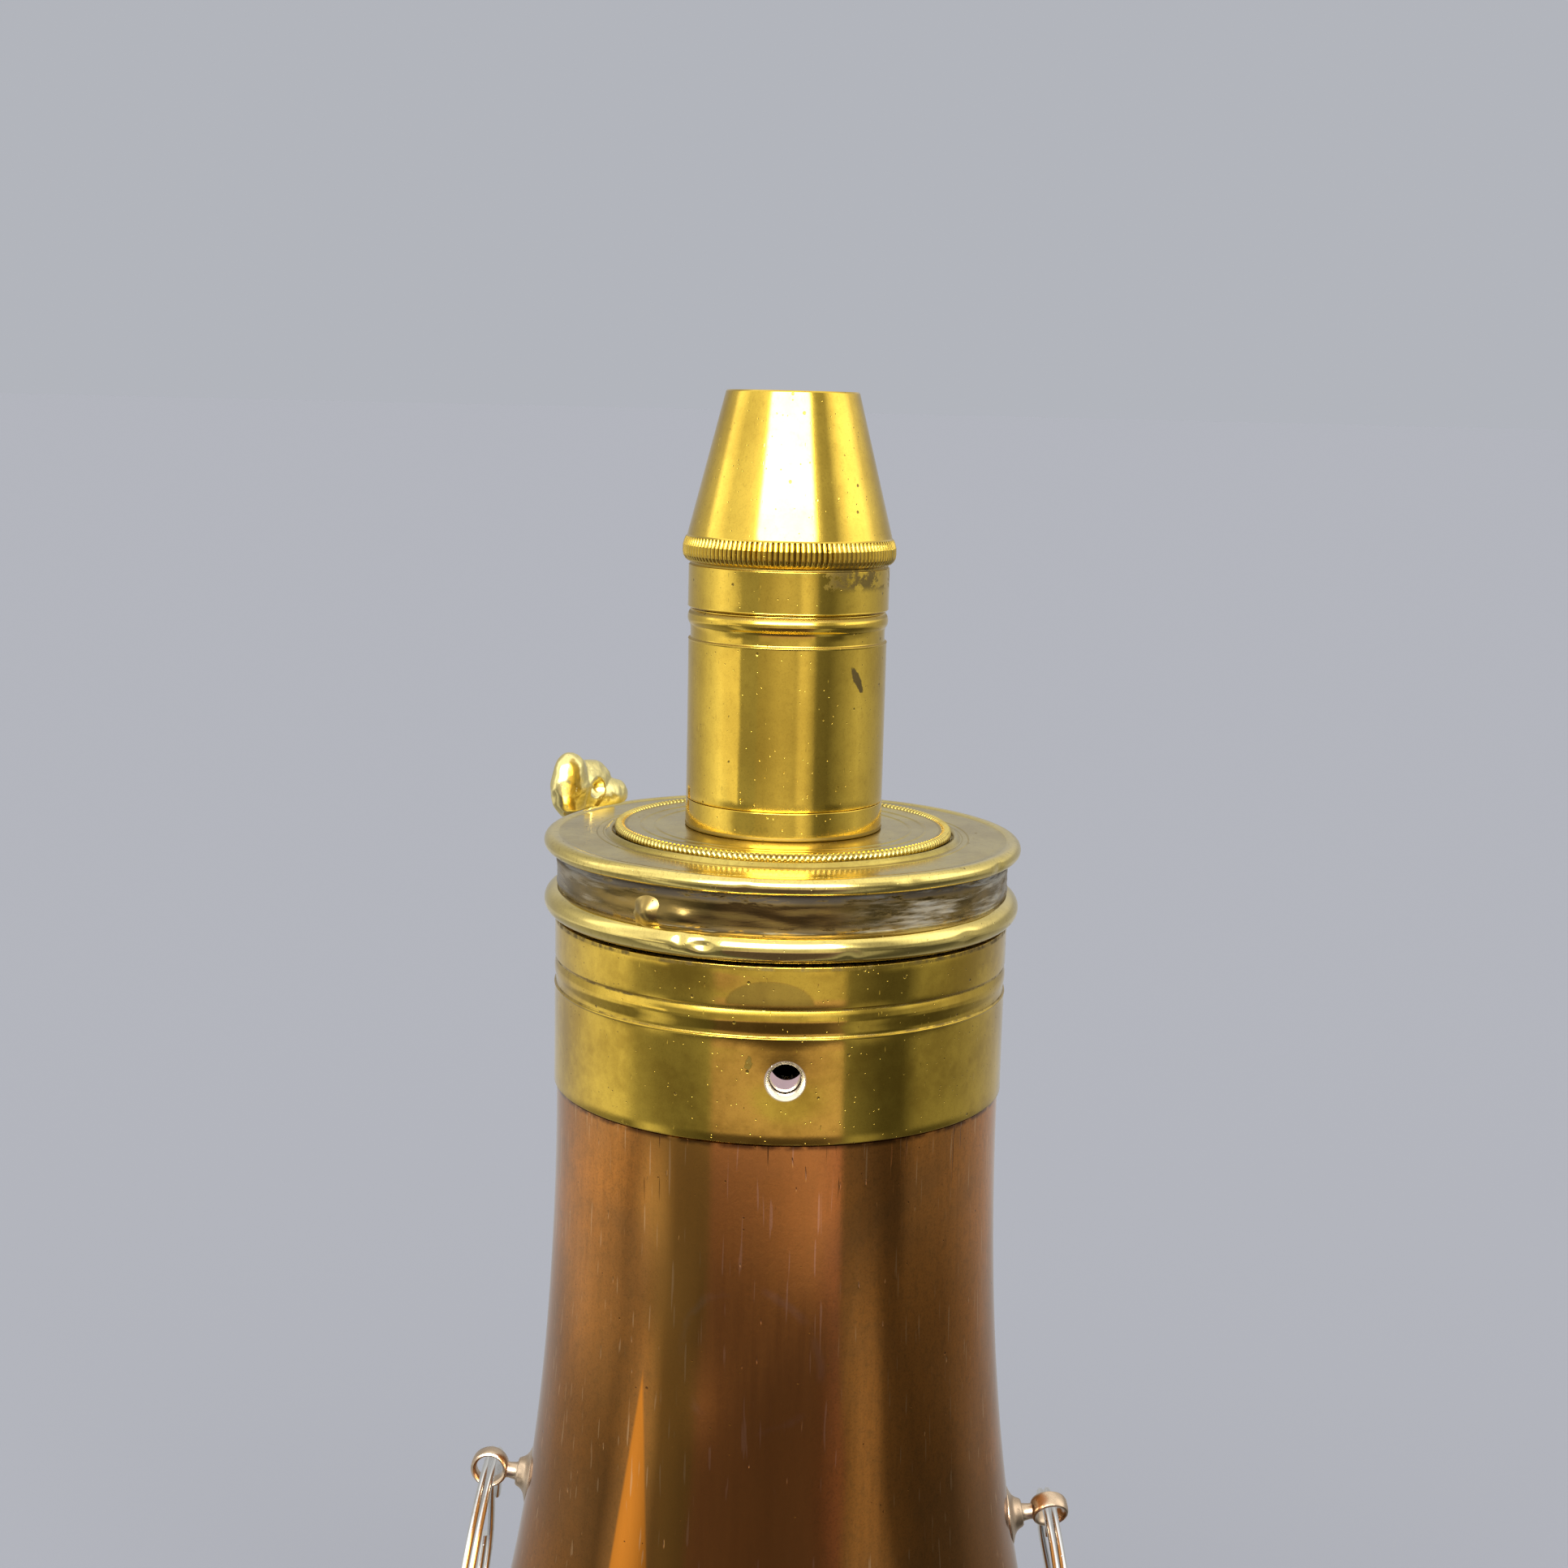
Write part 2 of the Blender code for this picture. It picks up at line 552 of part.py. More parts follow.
def make_spring_and_stop(brass, steel):
    """The leaf spring that closes the gate, its rivet, and the pin that the gate stops against."""
    start, first, second, end = (Vector(p) for p in ((12.2, 10.6), (7.5, 16.6), (-1.0, 14.5), (-3.9, 9.3)))
    count = 12
    half = 0.18
    shape = bmesh.new()
    rows = []
    for i in range(count):
        t = i / (count - 1)
        spot = bezier(start, first, second, end, t)
        ahead = (bezier(start, first, second, end, t + 0.01) - spot).normalized()
        side = Vector((-ahead.y, ahead.x)) * half
        corners = [(spot + side, GATE_BOTTOM + 0.1), (spot - side, GATE_BOTTOM + 0.1)]
        corners += [(spot - side, GATE_TOP + 0.15), (spot + side, GATE_TOP + 0.15)]
        rows.append([shape.verts.new((p.x, p.y, z)) for p, z in corners])
    for low, high in zip(rows, rows[1:]):
        for i in range(4):
            following = (i + 1) % 4
            shape.faces.new((low[i], low[following], high[following], high[i]))
    shape.faces.new(rows[0])
    shape.faces.new(rows[-1])
    from_bmesh("return_spring", shape, steel, (0, 0, BODY_HEIGHT))

    rivet = [(0.0, 0.5), (0.5, 0.4), (0.65, 0.0), (0.45, 0.0), (0.45, -1.9), (0.0, -1.9)]
    seat = polar(WAIST_RADIUS + 0.1, SPRING_AZIMUTH, head(STOP_Z))
    turned("spring_rivet", rivet, brass, TINY_STEPS, seat, along(polar(1, SPRING_AZIMUTH)), hollow=False)

    seat_r = WAIST_RADIUS + 0.1
    reach = seat_r - GATE_COVER_RADIUS - GAP
    pin = [(0.0, 0.75), (0.8, 0.6), (STOP_HEAD_RADIUS, 0.0), (0.4, 0.0), (0.4, -reach), (0.0, -reach)]
    seat = polar(seat_r, STOP_AZIMUTH, head(STOP_Z))
    stop = turned("stop_pin", pin, brass, TINY_STEPS, seat, along(polar(1, STOP_AZIMUTH)), hollow=False)
    over_rim = head(LOWER_BEAD_Z + LOWER_BEAD_RADIUS + 0.15)
    boolean(stop, box_cutter("stop_head_flat", (-1, -9, BODY_HEIGHT), (25, 9, over_rim), STOP_AZIMUTH))


# ---------------------------------------------------------------- nozzle


def make_nozzle(brass, steel):
    up = (0, 0, BODY_HEIGHT)
    spigot_top = FOOT_TOP + FOOT_SPIGOT_HEIGHT
    neck_bottom = GATE_TOP + 0.55
    foot = [(FOOT_SPIGOT_BORE, spigot_top), (FOOT_SPIGOT_RADIUS, spigot_top), (FOOT_SPIGOT_RADIUS, FOOT_TOP)]
    foot += [(BARREL_RADIUS, FOOT_TOP), (BARREL_RADIUS, FOOT_BOTTOM), (FOOT_NECK_RADIUS, FOOT_BOTTOM)]
    foot += [(FOOT_NECK_RADIUS, neck_bottom), (FOOT_BORE, neck_bottom), (FOOT_BORE, FOOT_BOTTOM)]
    turned("nozzle_foot", foot, brass, SMALL_STEPS, up)

    bottom = FOOT_TOP + GAP
    shoulder = BARREL_RADIUS - 0.15
    barrel = [(BARREL_BORE, BARREL_TOP), (shoulder, BARREL_TOP), (shoulder, BARREL_BAND_TOP + 0.3)]
    barrel += [(BARREL_BAND_RADIUS, BARREL_BAND_TOP), (BARREL_BAND_RADIUS, BARREL_BAND_BOTTOM)]
    barrel += [(shoulder, BARREL_GROOVE_Z + 0.2), (shoulder - 0.05, BARREL_GROOVE_Z)]
    barrel += [(BARREL_RADIUS, BARREL_GROOVE_Z - 0.2), (BARREL_RADIUS, bottom), (BARREL_BORE, bottom)]
    outer = turned("nozzle_barrel", barrel, brass, SMALL_STEPS, up)
    pin_height = head(GUIDE_PIN_Z)
    spot = (0, BARREL_RADIUS, pin_height)
    boolean(outer, rod_cutter("pin_hole", RIVET_HOLE_RADIUS, 8.0, spot, (0, 1, 0), TINY_STEPS))

    tube = [(TUBE_BORE, TUBE_TOP), (TUBE_RADIUS, TUBE_TOP), (TUBE_RADIUS, TUBE_BOTTOM)]
    tube += [(TUBE_BORE, TUBE_BOTTOM)]
    inner = turned("measuring_tube", tube, brass, SMALL_STEPS, up)
    spare = GUIDE_PIN_RADIUS + GAP
    slot_low = (-GUIDE_SLOT_HALF_WIDTH, 4.0, pin_height - CHARGE_TRAVEL - spare)
    slot_high = (GUIDE_SLOT_HALF_WIDTH, 9.0, pin_height + spare)
    boolean(inner, box_cutter("tube_slot", slot_low, slot_high))
    pin = [(0.0, 0.0), (GUIDE_PIN_RADIUS, 0.0), (GUIDE_PIN_RADIUS, -GUIDE_PIN_LENGTH)]
    pin += [(0.0, -GUIDE_PIN_LENGTH)]
    seat = (0, BARREL_RADIUS - 0.05, pin_height)
    turned("guide_pin", pin, steel, TINY_STEPS, seat, along((0, 1, 0)), hollow=False)

    skirt = CONE_SKIRT_RADIUS
    bead = arc(MILLED_BEAD_CENTRE_R, MILLED_BEAD_Z, MILLED_BEAD_RADIUS, 70, -70, 5)
    cone = [(TIP_BORE, CONE_TOP), (TIP_RADIUS, CONE_TOP), (skirt, CONE_SHOULDER_Z)]
    cone += [(skirt - 0.1, CONE_SHOULDER_Z - 0.3)] + bead + [(skirt - 0.2, bead[-1][1] - 0.2)]
    cone += [(skirt, bead[-1][1] - 0.4), (skirt, CONE_BOTTOM), (CONE_SKIRT_BORE, CONE_BOTTOM)]
    cone += [(CONE_SKIRT_BORE, TUBE_TOP + GAP), (TUBE_BORE, TUBE_TOP + GAP + 0.1)]
    turned("nozzle_cone", cone, brass, SMALL_STEPS, up)


# ---------------------------------------------------------------- lugs and rings


def lug_height(side):
    return RIGHT_LUG_HEIGHT if side > 0 else LEFT_LUG_HEIGHT


def lug_frame(side):
    """The turn that takes +X outward, square to the copper at the lug. side is 1 or -1."""
    slope = flank_at(lug_height(side))[1]
    outward = Vector((side * math.cos(slope), 0, math.sin(slope)))
    across = Vector((0, side, 0))
    return Matrix((outward, across, outward.cross(across))).transposed()


def lug_point(side, reach):
    """A point on the lug's axis, measured outward from its seat just off the copper."""
    height = lug_height(side)
    on_copper = Vector((side * flank_at(height)[0], 0, height))
    return on_copper + lug_frame(side) @ Vector((GAP + reach, 0, 0))


def side_name(side, words):
    return ("right_" if side > 0 else "left_") + words


def make_lug(side, copper):
    """The round-edged base with its boss, soldered over the side seam."""
    profile = [(LUG_BORE, LUG_BOSS_HEIGHT), (LUG_BOSS_RADIUS, LUG_BOSS_HEIGHT), (1.7, 0.75)]
    profile += [(LUG_RADIUS - 0.3, 0.45), (LUG_RADIUS, 0.0), (LUG_BOSS_RADIUS, 0.0)]
    profile += [(LUG_BOSS_RADIUS, 0.75), (LUG_BORE, 0.75)]
    lean = along(lug_frame(side).col[0])
    turned(side_name(side, "lug"), profile, copper, 16, lug_point(side, 0), lean)


def make_eye(side, finish):
    """A swivelling eye: its shank is held in the lug's boss by the peened head."""
    around = 14
    section = 8
    shape = bmesh.new()
    loops = []
    for i in range(around):
        angle = 2 * math.pi * i / around
        loop = []
        for j in range(section):
            tilt = 2 * math.pi * j / section
            r = EYE_RADIUS + EYE_BAND * math.cos(tilt)
            spot = (r * math.cos(angle), EYE_HALF_WIDTH * math.sin(tilt), r * math.sin(angle))
            loop.append(shape.verts.new(spot))
        loops.append(loop)
    for i in range(around):
        here, there = loops[i], loops[(i + 1) % around]
        for j in range(section):
            shape.faces.new((here[j], here[(j + 1) % section], there[(j + 1) % section], there[j]))
    turn = RIGHT_EYE_TURN if side > 0 else 0.0
    facing = lug_frame(side) @ Matrix.Rotation(math.radians(turn), 3, "X")
    eye = from_bmesh(side_name(side, "swivel_eye"), shape, finish, lug_point(side, EYE_REACH), facing)
    shank = [(0.0, 1.95), (SHANK_RADIUS, 1.95), (SHANK_RADIUS, 0.45), (SHANK_HEAD_RADIUS, 0.4)]
    shank += [(SHANK_HEAD_RADIUS, 0.1), (0.0, 0.1)]
    lean = along(lug_frame(side).col[0])
    name = side_name(side, "shank")
    stem = turned(name, shank, None, TINY_STEPS, lug_point(side, 0), lean, hollow=False)
    boolean(eye, hide(stem), "UNION")


def make_ring(side, finish):
    """A ring that leans out from the eye and rests on the widening body."""
    profile = arc(RING_RADIUS, 0.0, RING_WIRE, 112.5, -202.5, 8)
    lean = math.radians(RING_LEAN)
    down = Vector((side * math.sin(lean), 0, -math.cos(lean)))
    centre = lug_point(side, EYE_REACH) + down * RING_RADIUS
    normal = Vector((side * math.cos(lean), 0, math.sin(lean)))
    turned(side_name(side, "split_ring"), profile, finish, 28, centre, along(normal))


# ---------------------------------------------------------------- assembly


def settle_shapes():
    """Applies the modifiers, drops the cutters and shades the round pieces smooth."""
    bpy.context.view_layer.update()
    graph = bpy.context.evaluated_depsgraph_get()
    parts = [o for o in bpy.context.scene.objects if not o.hide_render]
    finished = [(o, bpy.data.meshes.new_from_object(o.evaluated_get(graph))) for o in parts]
    for part, mesh in finished:
        part.modifiers.clear()
        part.data = mesh
        mesh.name = part.name
        mesh.shade_smooth()
        mesh.set_sharp_from_angle(angle=math.radians(32))
    for cutter in [o for o in bpy.context.scene.objects if o.hide_render]:
        bpy.data.objects.remove(cutter, do_unlink=True)


def main():
    clear_scene()
    copper = metal("copper", (0.42, 0.20, 0.09), 0.3)
    brass = metal("brass", (0.72, 0.55, 0.16), 0.28)
    steel = metal("steel", (0.55, 0.55, 0.54), 0.3)
    make_body(copper)
    make_collar(brass)
    make_plates(brass)
    make_cutoff(brass, steel)
    make_spring_and_stop(brass, steel)
    make_nozzle(brass, steel)
    for side in (-1, 1):
        make_lug(side, copper)
        make_eye(side, copper)
        make_ring(side, steel)
    settle_shapes()


main()
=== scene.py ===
"""The looks of the copper and brass powder flask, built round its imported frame."""

import json
import math

import bmesh
import bpy
from mathutils import Matrix, Vector, noise


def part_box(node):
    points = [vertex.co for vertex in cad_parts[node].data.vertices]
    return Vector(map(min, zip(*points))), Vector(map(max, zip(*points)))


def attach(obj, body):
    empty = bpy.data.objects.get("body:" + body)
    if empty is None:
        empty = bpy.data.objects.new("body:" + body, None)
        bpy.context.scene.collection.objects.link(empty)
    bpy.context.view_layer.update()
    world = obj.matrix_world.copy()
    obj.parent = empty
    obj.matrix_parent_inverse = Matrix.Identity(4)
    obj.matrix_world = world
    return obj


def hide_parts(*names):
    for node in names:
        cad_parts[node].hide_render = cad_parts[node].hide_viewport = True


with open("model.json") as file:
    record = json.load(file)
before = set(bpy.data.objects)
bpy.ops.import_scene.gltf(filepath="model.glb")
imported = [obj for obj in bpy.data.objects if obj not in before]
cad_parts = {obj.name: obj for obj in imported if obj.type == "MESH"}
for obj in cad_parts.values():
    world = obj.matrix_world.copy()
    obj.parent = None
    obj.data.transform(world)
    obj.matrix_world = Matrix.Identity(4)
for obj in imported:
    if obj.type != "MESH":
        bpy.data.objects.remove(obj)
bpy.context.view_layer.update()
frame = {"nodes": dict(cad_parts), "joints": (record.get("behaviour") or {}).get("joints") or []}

MM = 0.001
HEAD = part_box("collar")[0].z / MM  # height of the collar's lower edge: levels on the head start here
SIDES = ((-1, "left"), (1, "right"))
JOINTS = {joint["name"]: joint for joint in frame["joints"]}
PIVOT = Vector(JOINTS["cutoff_swing"]["pos_m"]) / MM
ARM_AZIMUTH = math.degrees(math.atan2(-PIVOT.y, -PIVOT.x))
SCREW_LEVEL = 5.2  # the collar's screws, above its lower edge
SCREWS = ((32.0, "collar_screw_back_right"), (152.0, "collar_screw_back_left"))
EMPTY_HOLE = 272.0  # its azimuth, in degrees from +X, as for the other azimuths
STOP_AZIMUTH = 237.0
SPRING_AZIMUTH = 40.0
DISC_TEETH = 196
KNURLS = 124
COLLAR_FACE = 18.0  # where the copper lies behind the empty hole
RIM_START = 18.85  # radius where the upper plate's polished rim starts

BRASS = (0.80, 0.545, 0.075)
PLATE_BRASS = (0.68, 0.53, 0.13)
RIM_BRASS = (0.84, 0.66, 0.20)
CAST_BRASS = (0.88, 0.74, 0.30)
PIN_BRASS = (0.62, 0.47, 0.16)
OLIVE_SHARES = (0.52, 0.47, 0.42)  # what tarnish leaves of brass's red, green and blue
PITTED_BRASS = (0.07, 0.045, 0.02)
# pale metal for the painted highlight round the empty screw hole
GLINT_BRASS = (0.88, 0.84, 0.70)
DIRT = (0.055, 0.042, 0.026)
BLACK_DIRT = (0.030, 0.023, 0.015)
CHALK = (0.56, 0.55, 0.48)
COPPER = (0.64, 0.245, 0.048)
BROWN_COPPER = (0.4264, 0.1845, 0.0492)
LOW_COPPER = (0.3655, 0.15725, 0.03825)
# painted reflections on the copper's front: a paler sheen band, a red wedge and a dark strip
SHEEN_COPPER = (0.60, 0.285, 0.056)
RED_COPPER = (0.86, 0.29, 0.03)
DARK_COPPER = (0.20, 0.095, 0.024)
PALE_COPPER = (0.66, 0.50, 0.34)
PITTED_COPPER = (0.05, 0.02, 0.010)
PLATED_STEEL = (0.76, 0.75, 0.72)
PLAIN_STEEL = (0.42, 0.40, 0.37)
BACKGROUND = (0.447, 0.462, 0.503)


# ---------------------------------------------------------------- node graphs


class Graph:
    """A short way to write nodes: an input takes a number, a tuple or another node's socket."""

    def __init__(self, tree):
        self.tree = tree

    def node(self, kind, inputs=None, **settings):
        made = self.tree.nodes.new(kind)
        for key, value in settings.items():
            setattr(made, key, value)
        for key, value in (inputs or {}).items():
            if isinstance(value, bpy.types.NodeSocket):
                self.tree.links.new(value, made.inputs[key])
            else:
                made.inputs[key].default_value = value
        return made

    def math(self, operation, a, b=0.0):
        return self.node("ShaderNodeMath", {0: a, 1: b}, operation=operation).outputs[0]

    def chain(self, operation, values):
        total = values[0]
        for value in values[1:]:
            total = self.math(operation, total, value)
        return total

    def times(self, *factors):
        return self.chain("MULTIPLY", factors)

    def plus(self, *terms):
        return self.chain("ADD", terms)

    def minus(self, a, b):
        return self.math("SUBTRACT", a, b)

    def most(self, *masks):
        return self.chain("MAXIMUM", masks)

    def squares(self, a, b):
        return self.plus(self.times(a, a), self.times(b, b))

    def ramp(self, value, low, high, start=0.0, end=1.0):
        """start below low, end above high, and a smooth step between them."""
        made = self.node(
            "ShaderNodeMapRange",
            {"Value": value, "From Min": low, "From Max": high, "To Min": start, "To Max": end},
            interpolation_type="SMOOTHSTEP",
        )
        return made.outputs["Result"]

    def fall(self, value, low, high):
        return self.ramp(value, low, high, 1.0, 0.0)

    def band(self, value, low, high, soft):
        """1 between low and high, with soft edges."""
        rise = self.ramp(value, low - soft, low + soft)
        return self.times(rise, self.fall(value, high - soft, high + soft))

    def mix(self, share, a, b):
        """Mixes two colours, each a socket or (red, green, blue)."""
        a, b = (colour + (1.0,) if isinstance(colour, tuple) else colour for colour in (a, b))
        made = self.node("ShaderNodeMix", {0: share, 6: a, 7: b}, data_type="RGBA")
        return made.outputs[2]

    def mix_value(self, share, a, b):
        return self.node("ShaderNodeMix", {0: share, 2: a, 3: b}, data_type="FLOAT").outputs[0]

    def vector(self, x, y, z):
        return self.node("ShaderNodeCombineXYZ", {0: x, 1: y, 2: z}).outputs[0]

    def noise(self, place, scale, detail=2.0, rough=0.5, distortion=0.0):
        inputs = {"Vector": place, "Scale": scale, "Detail": detail}
        inputs.update({"Roughness": rough, "Distortion": distortion})
        return self.node("ShaderNodeTexNoise", inputs).outputs["Fac"]

    def vector_math(self, operation, a, b):
        return self.node("ShaderNodeVectorMath", {0: a, 1: b}, operation=operation).outputs[0]

    def strip(self, value, points, top):
        """A grey ramp through (degrees, brightness) points, with value 0 at -180 degrees and 1 at 180."""
        made = self.node("ShaderNodeValToRGB", {"Fac": value})
        ramp = made.color_ramp
        ramp.interpolation = "LINEAR"
        while len(ramp.elements) < len(points):
            ramp.elements.new(0.5)
        for element, (degrees, brightness) in zip(ramp.elements, points):
            element.position = (degrees + 180) / 360
            element.color = (brightness / top,) * 3 + (1.0,)
        return made.outputs["Color"]


class Surface(Graph):
    """A material's graph with the object's own coordinates, in millimetres, straight and turned."""

    def __init__(self, name):
        self.material = bpy.data.materials.new(name)
        self.material.use_nodes = True
        super().__init__(self.material.node_tree)
        self.shader = self.tree.nodes["Principled BSDF"]
        here = self.node("ShaderNodeTexCoord").outputs["Object"]
        self.place = self.vector_math("MULTIPLY", here, (1 / MM,) * 3)
        split = self.node("ShaderNodeSeparateXYZ", {0: self.place})
        self.x, self.y, self.z = split.outputs
        self.angle = self.math("ARCTAN2", self.y, self.x)
        self.radius = self.math("SQRT", self.squares(self.x, self.y))
        self.level = self.minus(self.z, HEAD)

    def stretched(self, x, y, z):
        return self.vector_math("MULTIPLY", self.place, (x, y, z))

    def lathe_place(self, across, along):
        """Coordinates that are short round the piece and long across the tool's path."""
        way = self.plus(self.z, self.times(self.radius, 0.83))
        return self.vector(
            self.times(self.x, along),
            self.times(self.y, along),
            self.times(way, across),
        )

    def pits(self, scale, size, amount):
        """Small round marks: size is a share of the cell, amount the share of cells with one."""
        cells = self.node("ShaderNodeTexVoronoi", {"Vector": self.place, "Scale": scale, "Randomness": 1.0})
        chosen = self.node("ShaderNodeSeparateColor", {0: cells.outputs["Color"]}).outputs[0]
        near = self.fall(cells.outputs["Distance"], size * 0.5, size)
        return self.times(near, self.ramp(chosen, 1 - amount, 1.001 - amount))

    def scratches(self, turn, scale, length, width, amount):
        """Fine straight lines: cells drawn out along a direction, cut to a thin core."""
        inputs = {"Vector": self.place, "Rotation": turn, "Scale": (scale, scale, scale / length)}
        rotated = self.node("ShaderNodeMapping", inputs).outputs[0]
        sway = self.node("ShaderNodeTexNoise", {"Vector": self.place, "Scale": 0.15}).outputs["Color"]
        bent = self.vector_math("ADD", rotated, sway)
        cells = self.node("ShaderNodeTexVoronoi", {"Vector": bent, "Scale": 1.0})
        chosen = self.node("ShaderNodeSeparateColor", {0: cells.outputs["Color"]}).outputs[1]
        near = self.fall(cells.outputs["Distance"], width * 0.3, width)
        return self.times(near, self.ramp(chosen, 1 - amount, 1.02 - amount))

    def from_point(self, x, z):
        """Millimetres from an axis along Y."""
        return self.math("SQRT", self.squares(self.minus(self.x, x), self.minus(self.z, z)))

    def from_hole(self):
        """Millimetres from the axis of the empty screw hole, on the front only."""
        centre = polar(COLLAR_FACE, EMPTY_HOLE, HEAD + SCREW_LEVEL)
        return self.plus(self.from_point(centre.x, centre.z), self.ramp(self.y, -10.0, -8.0, 0.0, 50.0))

    def close(self, colour, roughness, height, depth, metallic=1.0):
        """Links the finished colour, roughness and bump, whose height is in units of depth metres."""
        bump = self.node("ShaderNodeBump", {"Strength": 1.0, "Distance": depth, "Height": height})
        for key, value in (("Base Color", colour), ("Roughness", roughness), ("Metallic", metallic)):
            if isinstance(value, bpy.types.NodeSocket):
                self.tree.links.new(value, self.shader.inputs[key])
            else:
                self.shader.inputs[key].default_value = value
        self.tree.links.new(bump.outputs[0], self.shader.inputs["Normal"])
        return self.material


# ---------------------------------------------------------------- materials


def shade(colour, share):
    return tuple(part * share for part in colour)


def brass(name, tarnish=0.3, rough=0.11, grime=None, marks=1.0, colour=BRASS, outer=None, painted_glint=None):
    """Turned brass. tarnish is how much olive skin it has, and outer a (radius, colour) for what lies
    outside it; grime(surface) gives a mask of dirt, and the last argument a mask of a pale painted highlight."""
    s = Surface(name)
    cloud = s.noise(s.place, 0.16, 4.0, 0.6)
    fine = s.noise(s.place, 1.4, 3.0, 0.6)
    skin = s.times(s.ramp(s.plus(cloud, s.times(fine, 0.25)), 0.45, 0.85), tarnish * 1.6)
    skin = s.math("MINIMUM", s.plus(skin, tarnish * 0.5), 1.0)
    olive = tuple(a * b for a, b in zip(colour, OLIVE_SHARES))
    clean = colour
    if outer:
        beyond = s.ramp(s.radius, outer[0] - 0.08, outer[0] + 0.08)
        clean = s.mix(beyond, clean, outer[1])
        skin = s.times(skin, s.minus(1.0, s.times(beyond, 0.6)))
    base = s.mix(skin, clean, olive)
    lathe = s.noise(s.lathe_place(7.0, 0.12), 1.0, 4.0, 0.7)
    mottle = s.noise(s.stretched(2.6, 2.6, 1.6), 1.0, 5.0, 0.7, 0.6)
    base = s.mix(s.times(s.ramp(mottle, 0.52, 0.70), 0.30 * marks), base, olive)
    pits = s.most(s.pits(0.9, 0.14, 0.18), s.pits(2.6, 0.17, 0.20))
    lines = s.most(
        s.scratches((0.4, 1.1, 0.3), 0.7, 14.0, 0.05, 0.35),
        s.scratches((1.3, 0.5, 1.9), 0.55, 18.0, 0.045, 0.35),
        s.scratches((0.2, 0.3, 0.3), 2.2, 5.0, 0.11, 0.30),
        s.scratches((1.2, 0.2, 1.2), 1.8, 6.0, 0.10, 0.25),
    )
    dark = s.times(pits, 0.75)
    base = s.mix(dark, base, PITTED_BRASS)
    base = s.mix(s.times(lines, 0.45), base, shade(colour, 1.15))
    grit = s.ramp(s.noise(s.place, 6.5, 3.0, 0.7), 0.50, 0.70)
    base = s.mix(s.times(grit, 0.28), base, shade(colour, 0.45))
    roughness = s.plus(s.times(skin, 0.07), s.times(lathe, 0.05), rough - 0.05, s.times(dark, 0.35))
    height = s.plus(s.times(lathe, 0.022 * marks), s.times(fine, 0.08), s.times(mottle, 0.10 * marks))
    height = s.minus(s.minus(height, s.times(pits, 0.9)), s.times(lines, 0.45))
    # grime paints dirt; the second cover paints a pale highlight
    for cover, cover_colour, cover_roughness in ((grime, DIRT, 0.62), (painted_glint, GLINT_BRASS, 0.3)):
        if cover:
            mask = cover(s)
            base = s.mix(mask, base, cover_colour)
            roughness = s.mix_value(mask, roughness, cover_roughness)
    return s.close(base, roughness, height, 0.02 * MM)


def hole_rim_glint(s):
    """A painted highlight: pale metal round the chamfered edge of the empty screw hole."""
    return s.times(s.band(s.from_hole(), 1.0, 1.62, 0.06), 0.8)


def from_step(s, count, shift):
    """How far an angle is from the middle of its step, as a share of a step; shift moves the steps."""
    turn = s.plus(s.times(s.angle, count / (2 * math.pi)), shift)
    return s.math("ABSOLUTE", s.minus(s.math("FRACT", turn), 0.5))


def plate_grime(s):
    """Dirt between the teeth of the milled disc, and two thin turned lines."""
    gap = s.ramp(from_step(s, DISC_TEETH, 0.0), 0.20, 0.42)
    toothed = s.band(s.radius, 13.15, 13.95, 0.06)
    lines = s.most(s.band(s.radius, 14.0, 14.12, 0.05), s.band(s.radius, 15.1, 15.2, 0.05))
    return s.most(s.times(gap, toothed, 0.75), s.times(lines, 0.35))


def collar_grime(s):
    """Dirt beside the mouldings, at the bottom edge, along the joint at the top and by the empty hole."""
    groove = s.most(s.band(s.level, 8.62, 8.75, 0.06), s.band(s.level, 10.72, 10.9, 0.05))
    edge = s.band(s.level, -1.0, 0.10, 0.12)
    top = s.band(s.level, 13.95, 15.0, 0.08)
    speckle = s.ramp(s.noise(s.place, 0.9, 5.0, 0.65), 0.42, 0.62)
    dirt = s.times(s.most(groove, edge, top), s.plus(s.times(speckle, 0.55), 0.25))
    front = s.fall(s.y, -10.0, -8.0)
    blot = s.squares(s.times(s.plus(s.x, 2.3), 1.4), s.minus(s.level, 6.6))
    blot = s.plus(blot, s.times(s.noise(s.place, 2.2, 3.0), 1.2))
    blot = s.times(s.fall(blot, 0.62, 0.85), 0.6, front)
    arch = s.squares(s.times(s.plus(s.x, 0.7), 0.29), s.times(s.minus(s.level, 11.2), 0.52))
    arch = s.times(s.fall(arch, 0.85, 1.1), s.ramp(s.level, 11.1, 11.35), front, 0.42)
    return s.most(dirt, blot, arch)


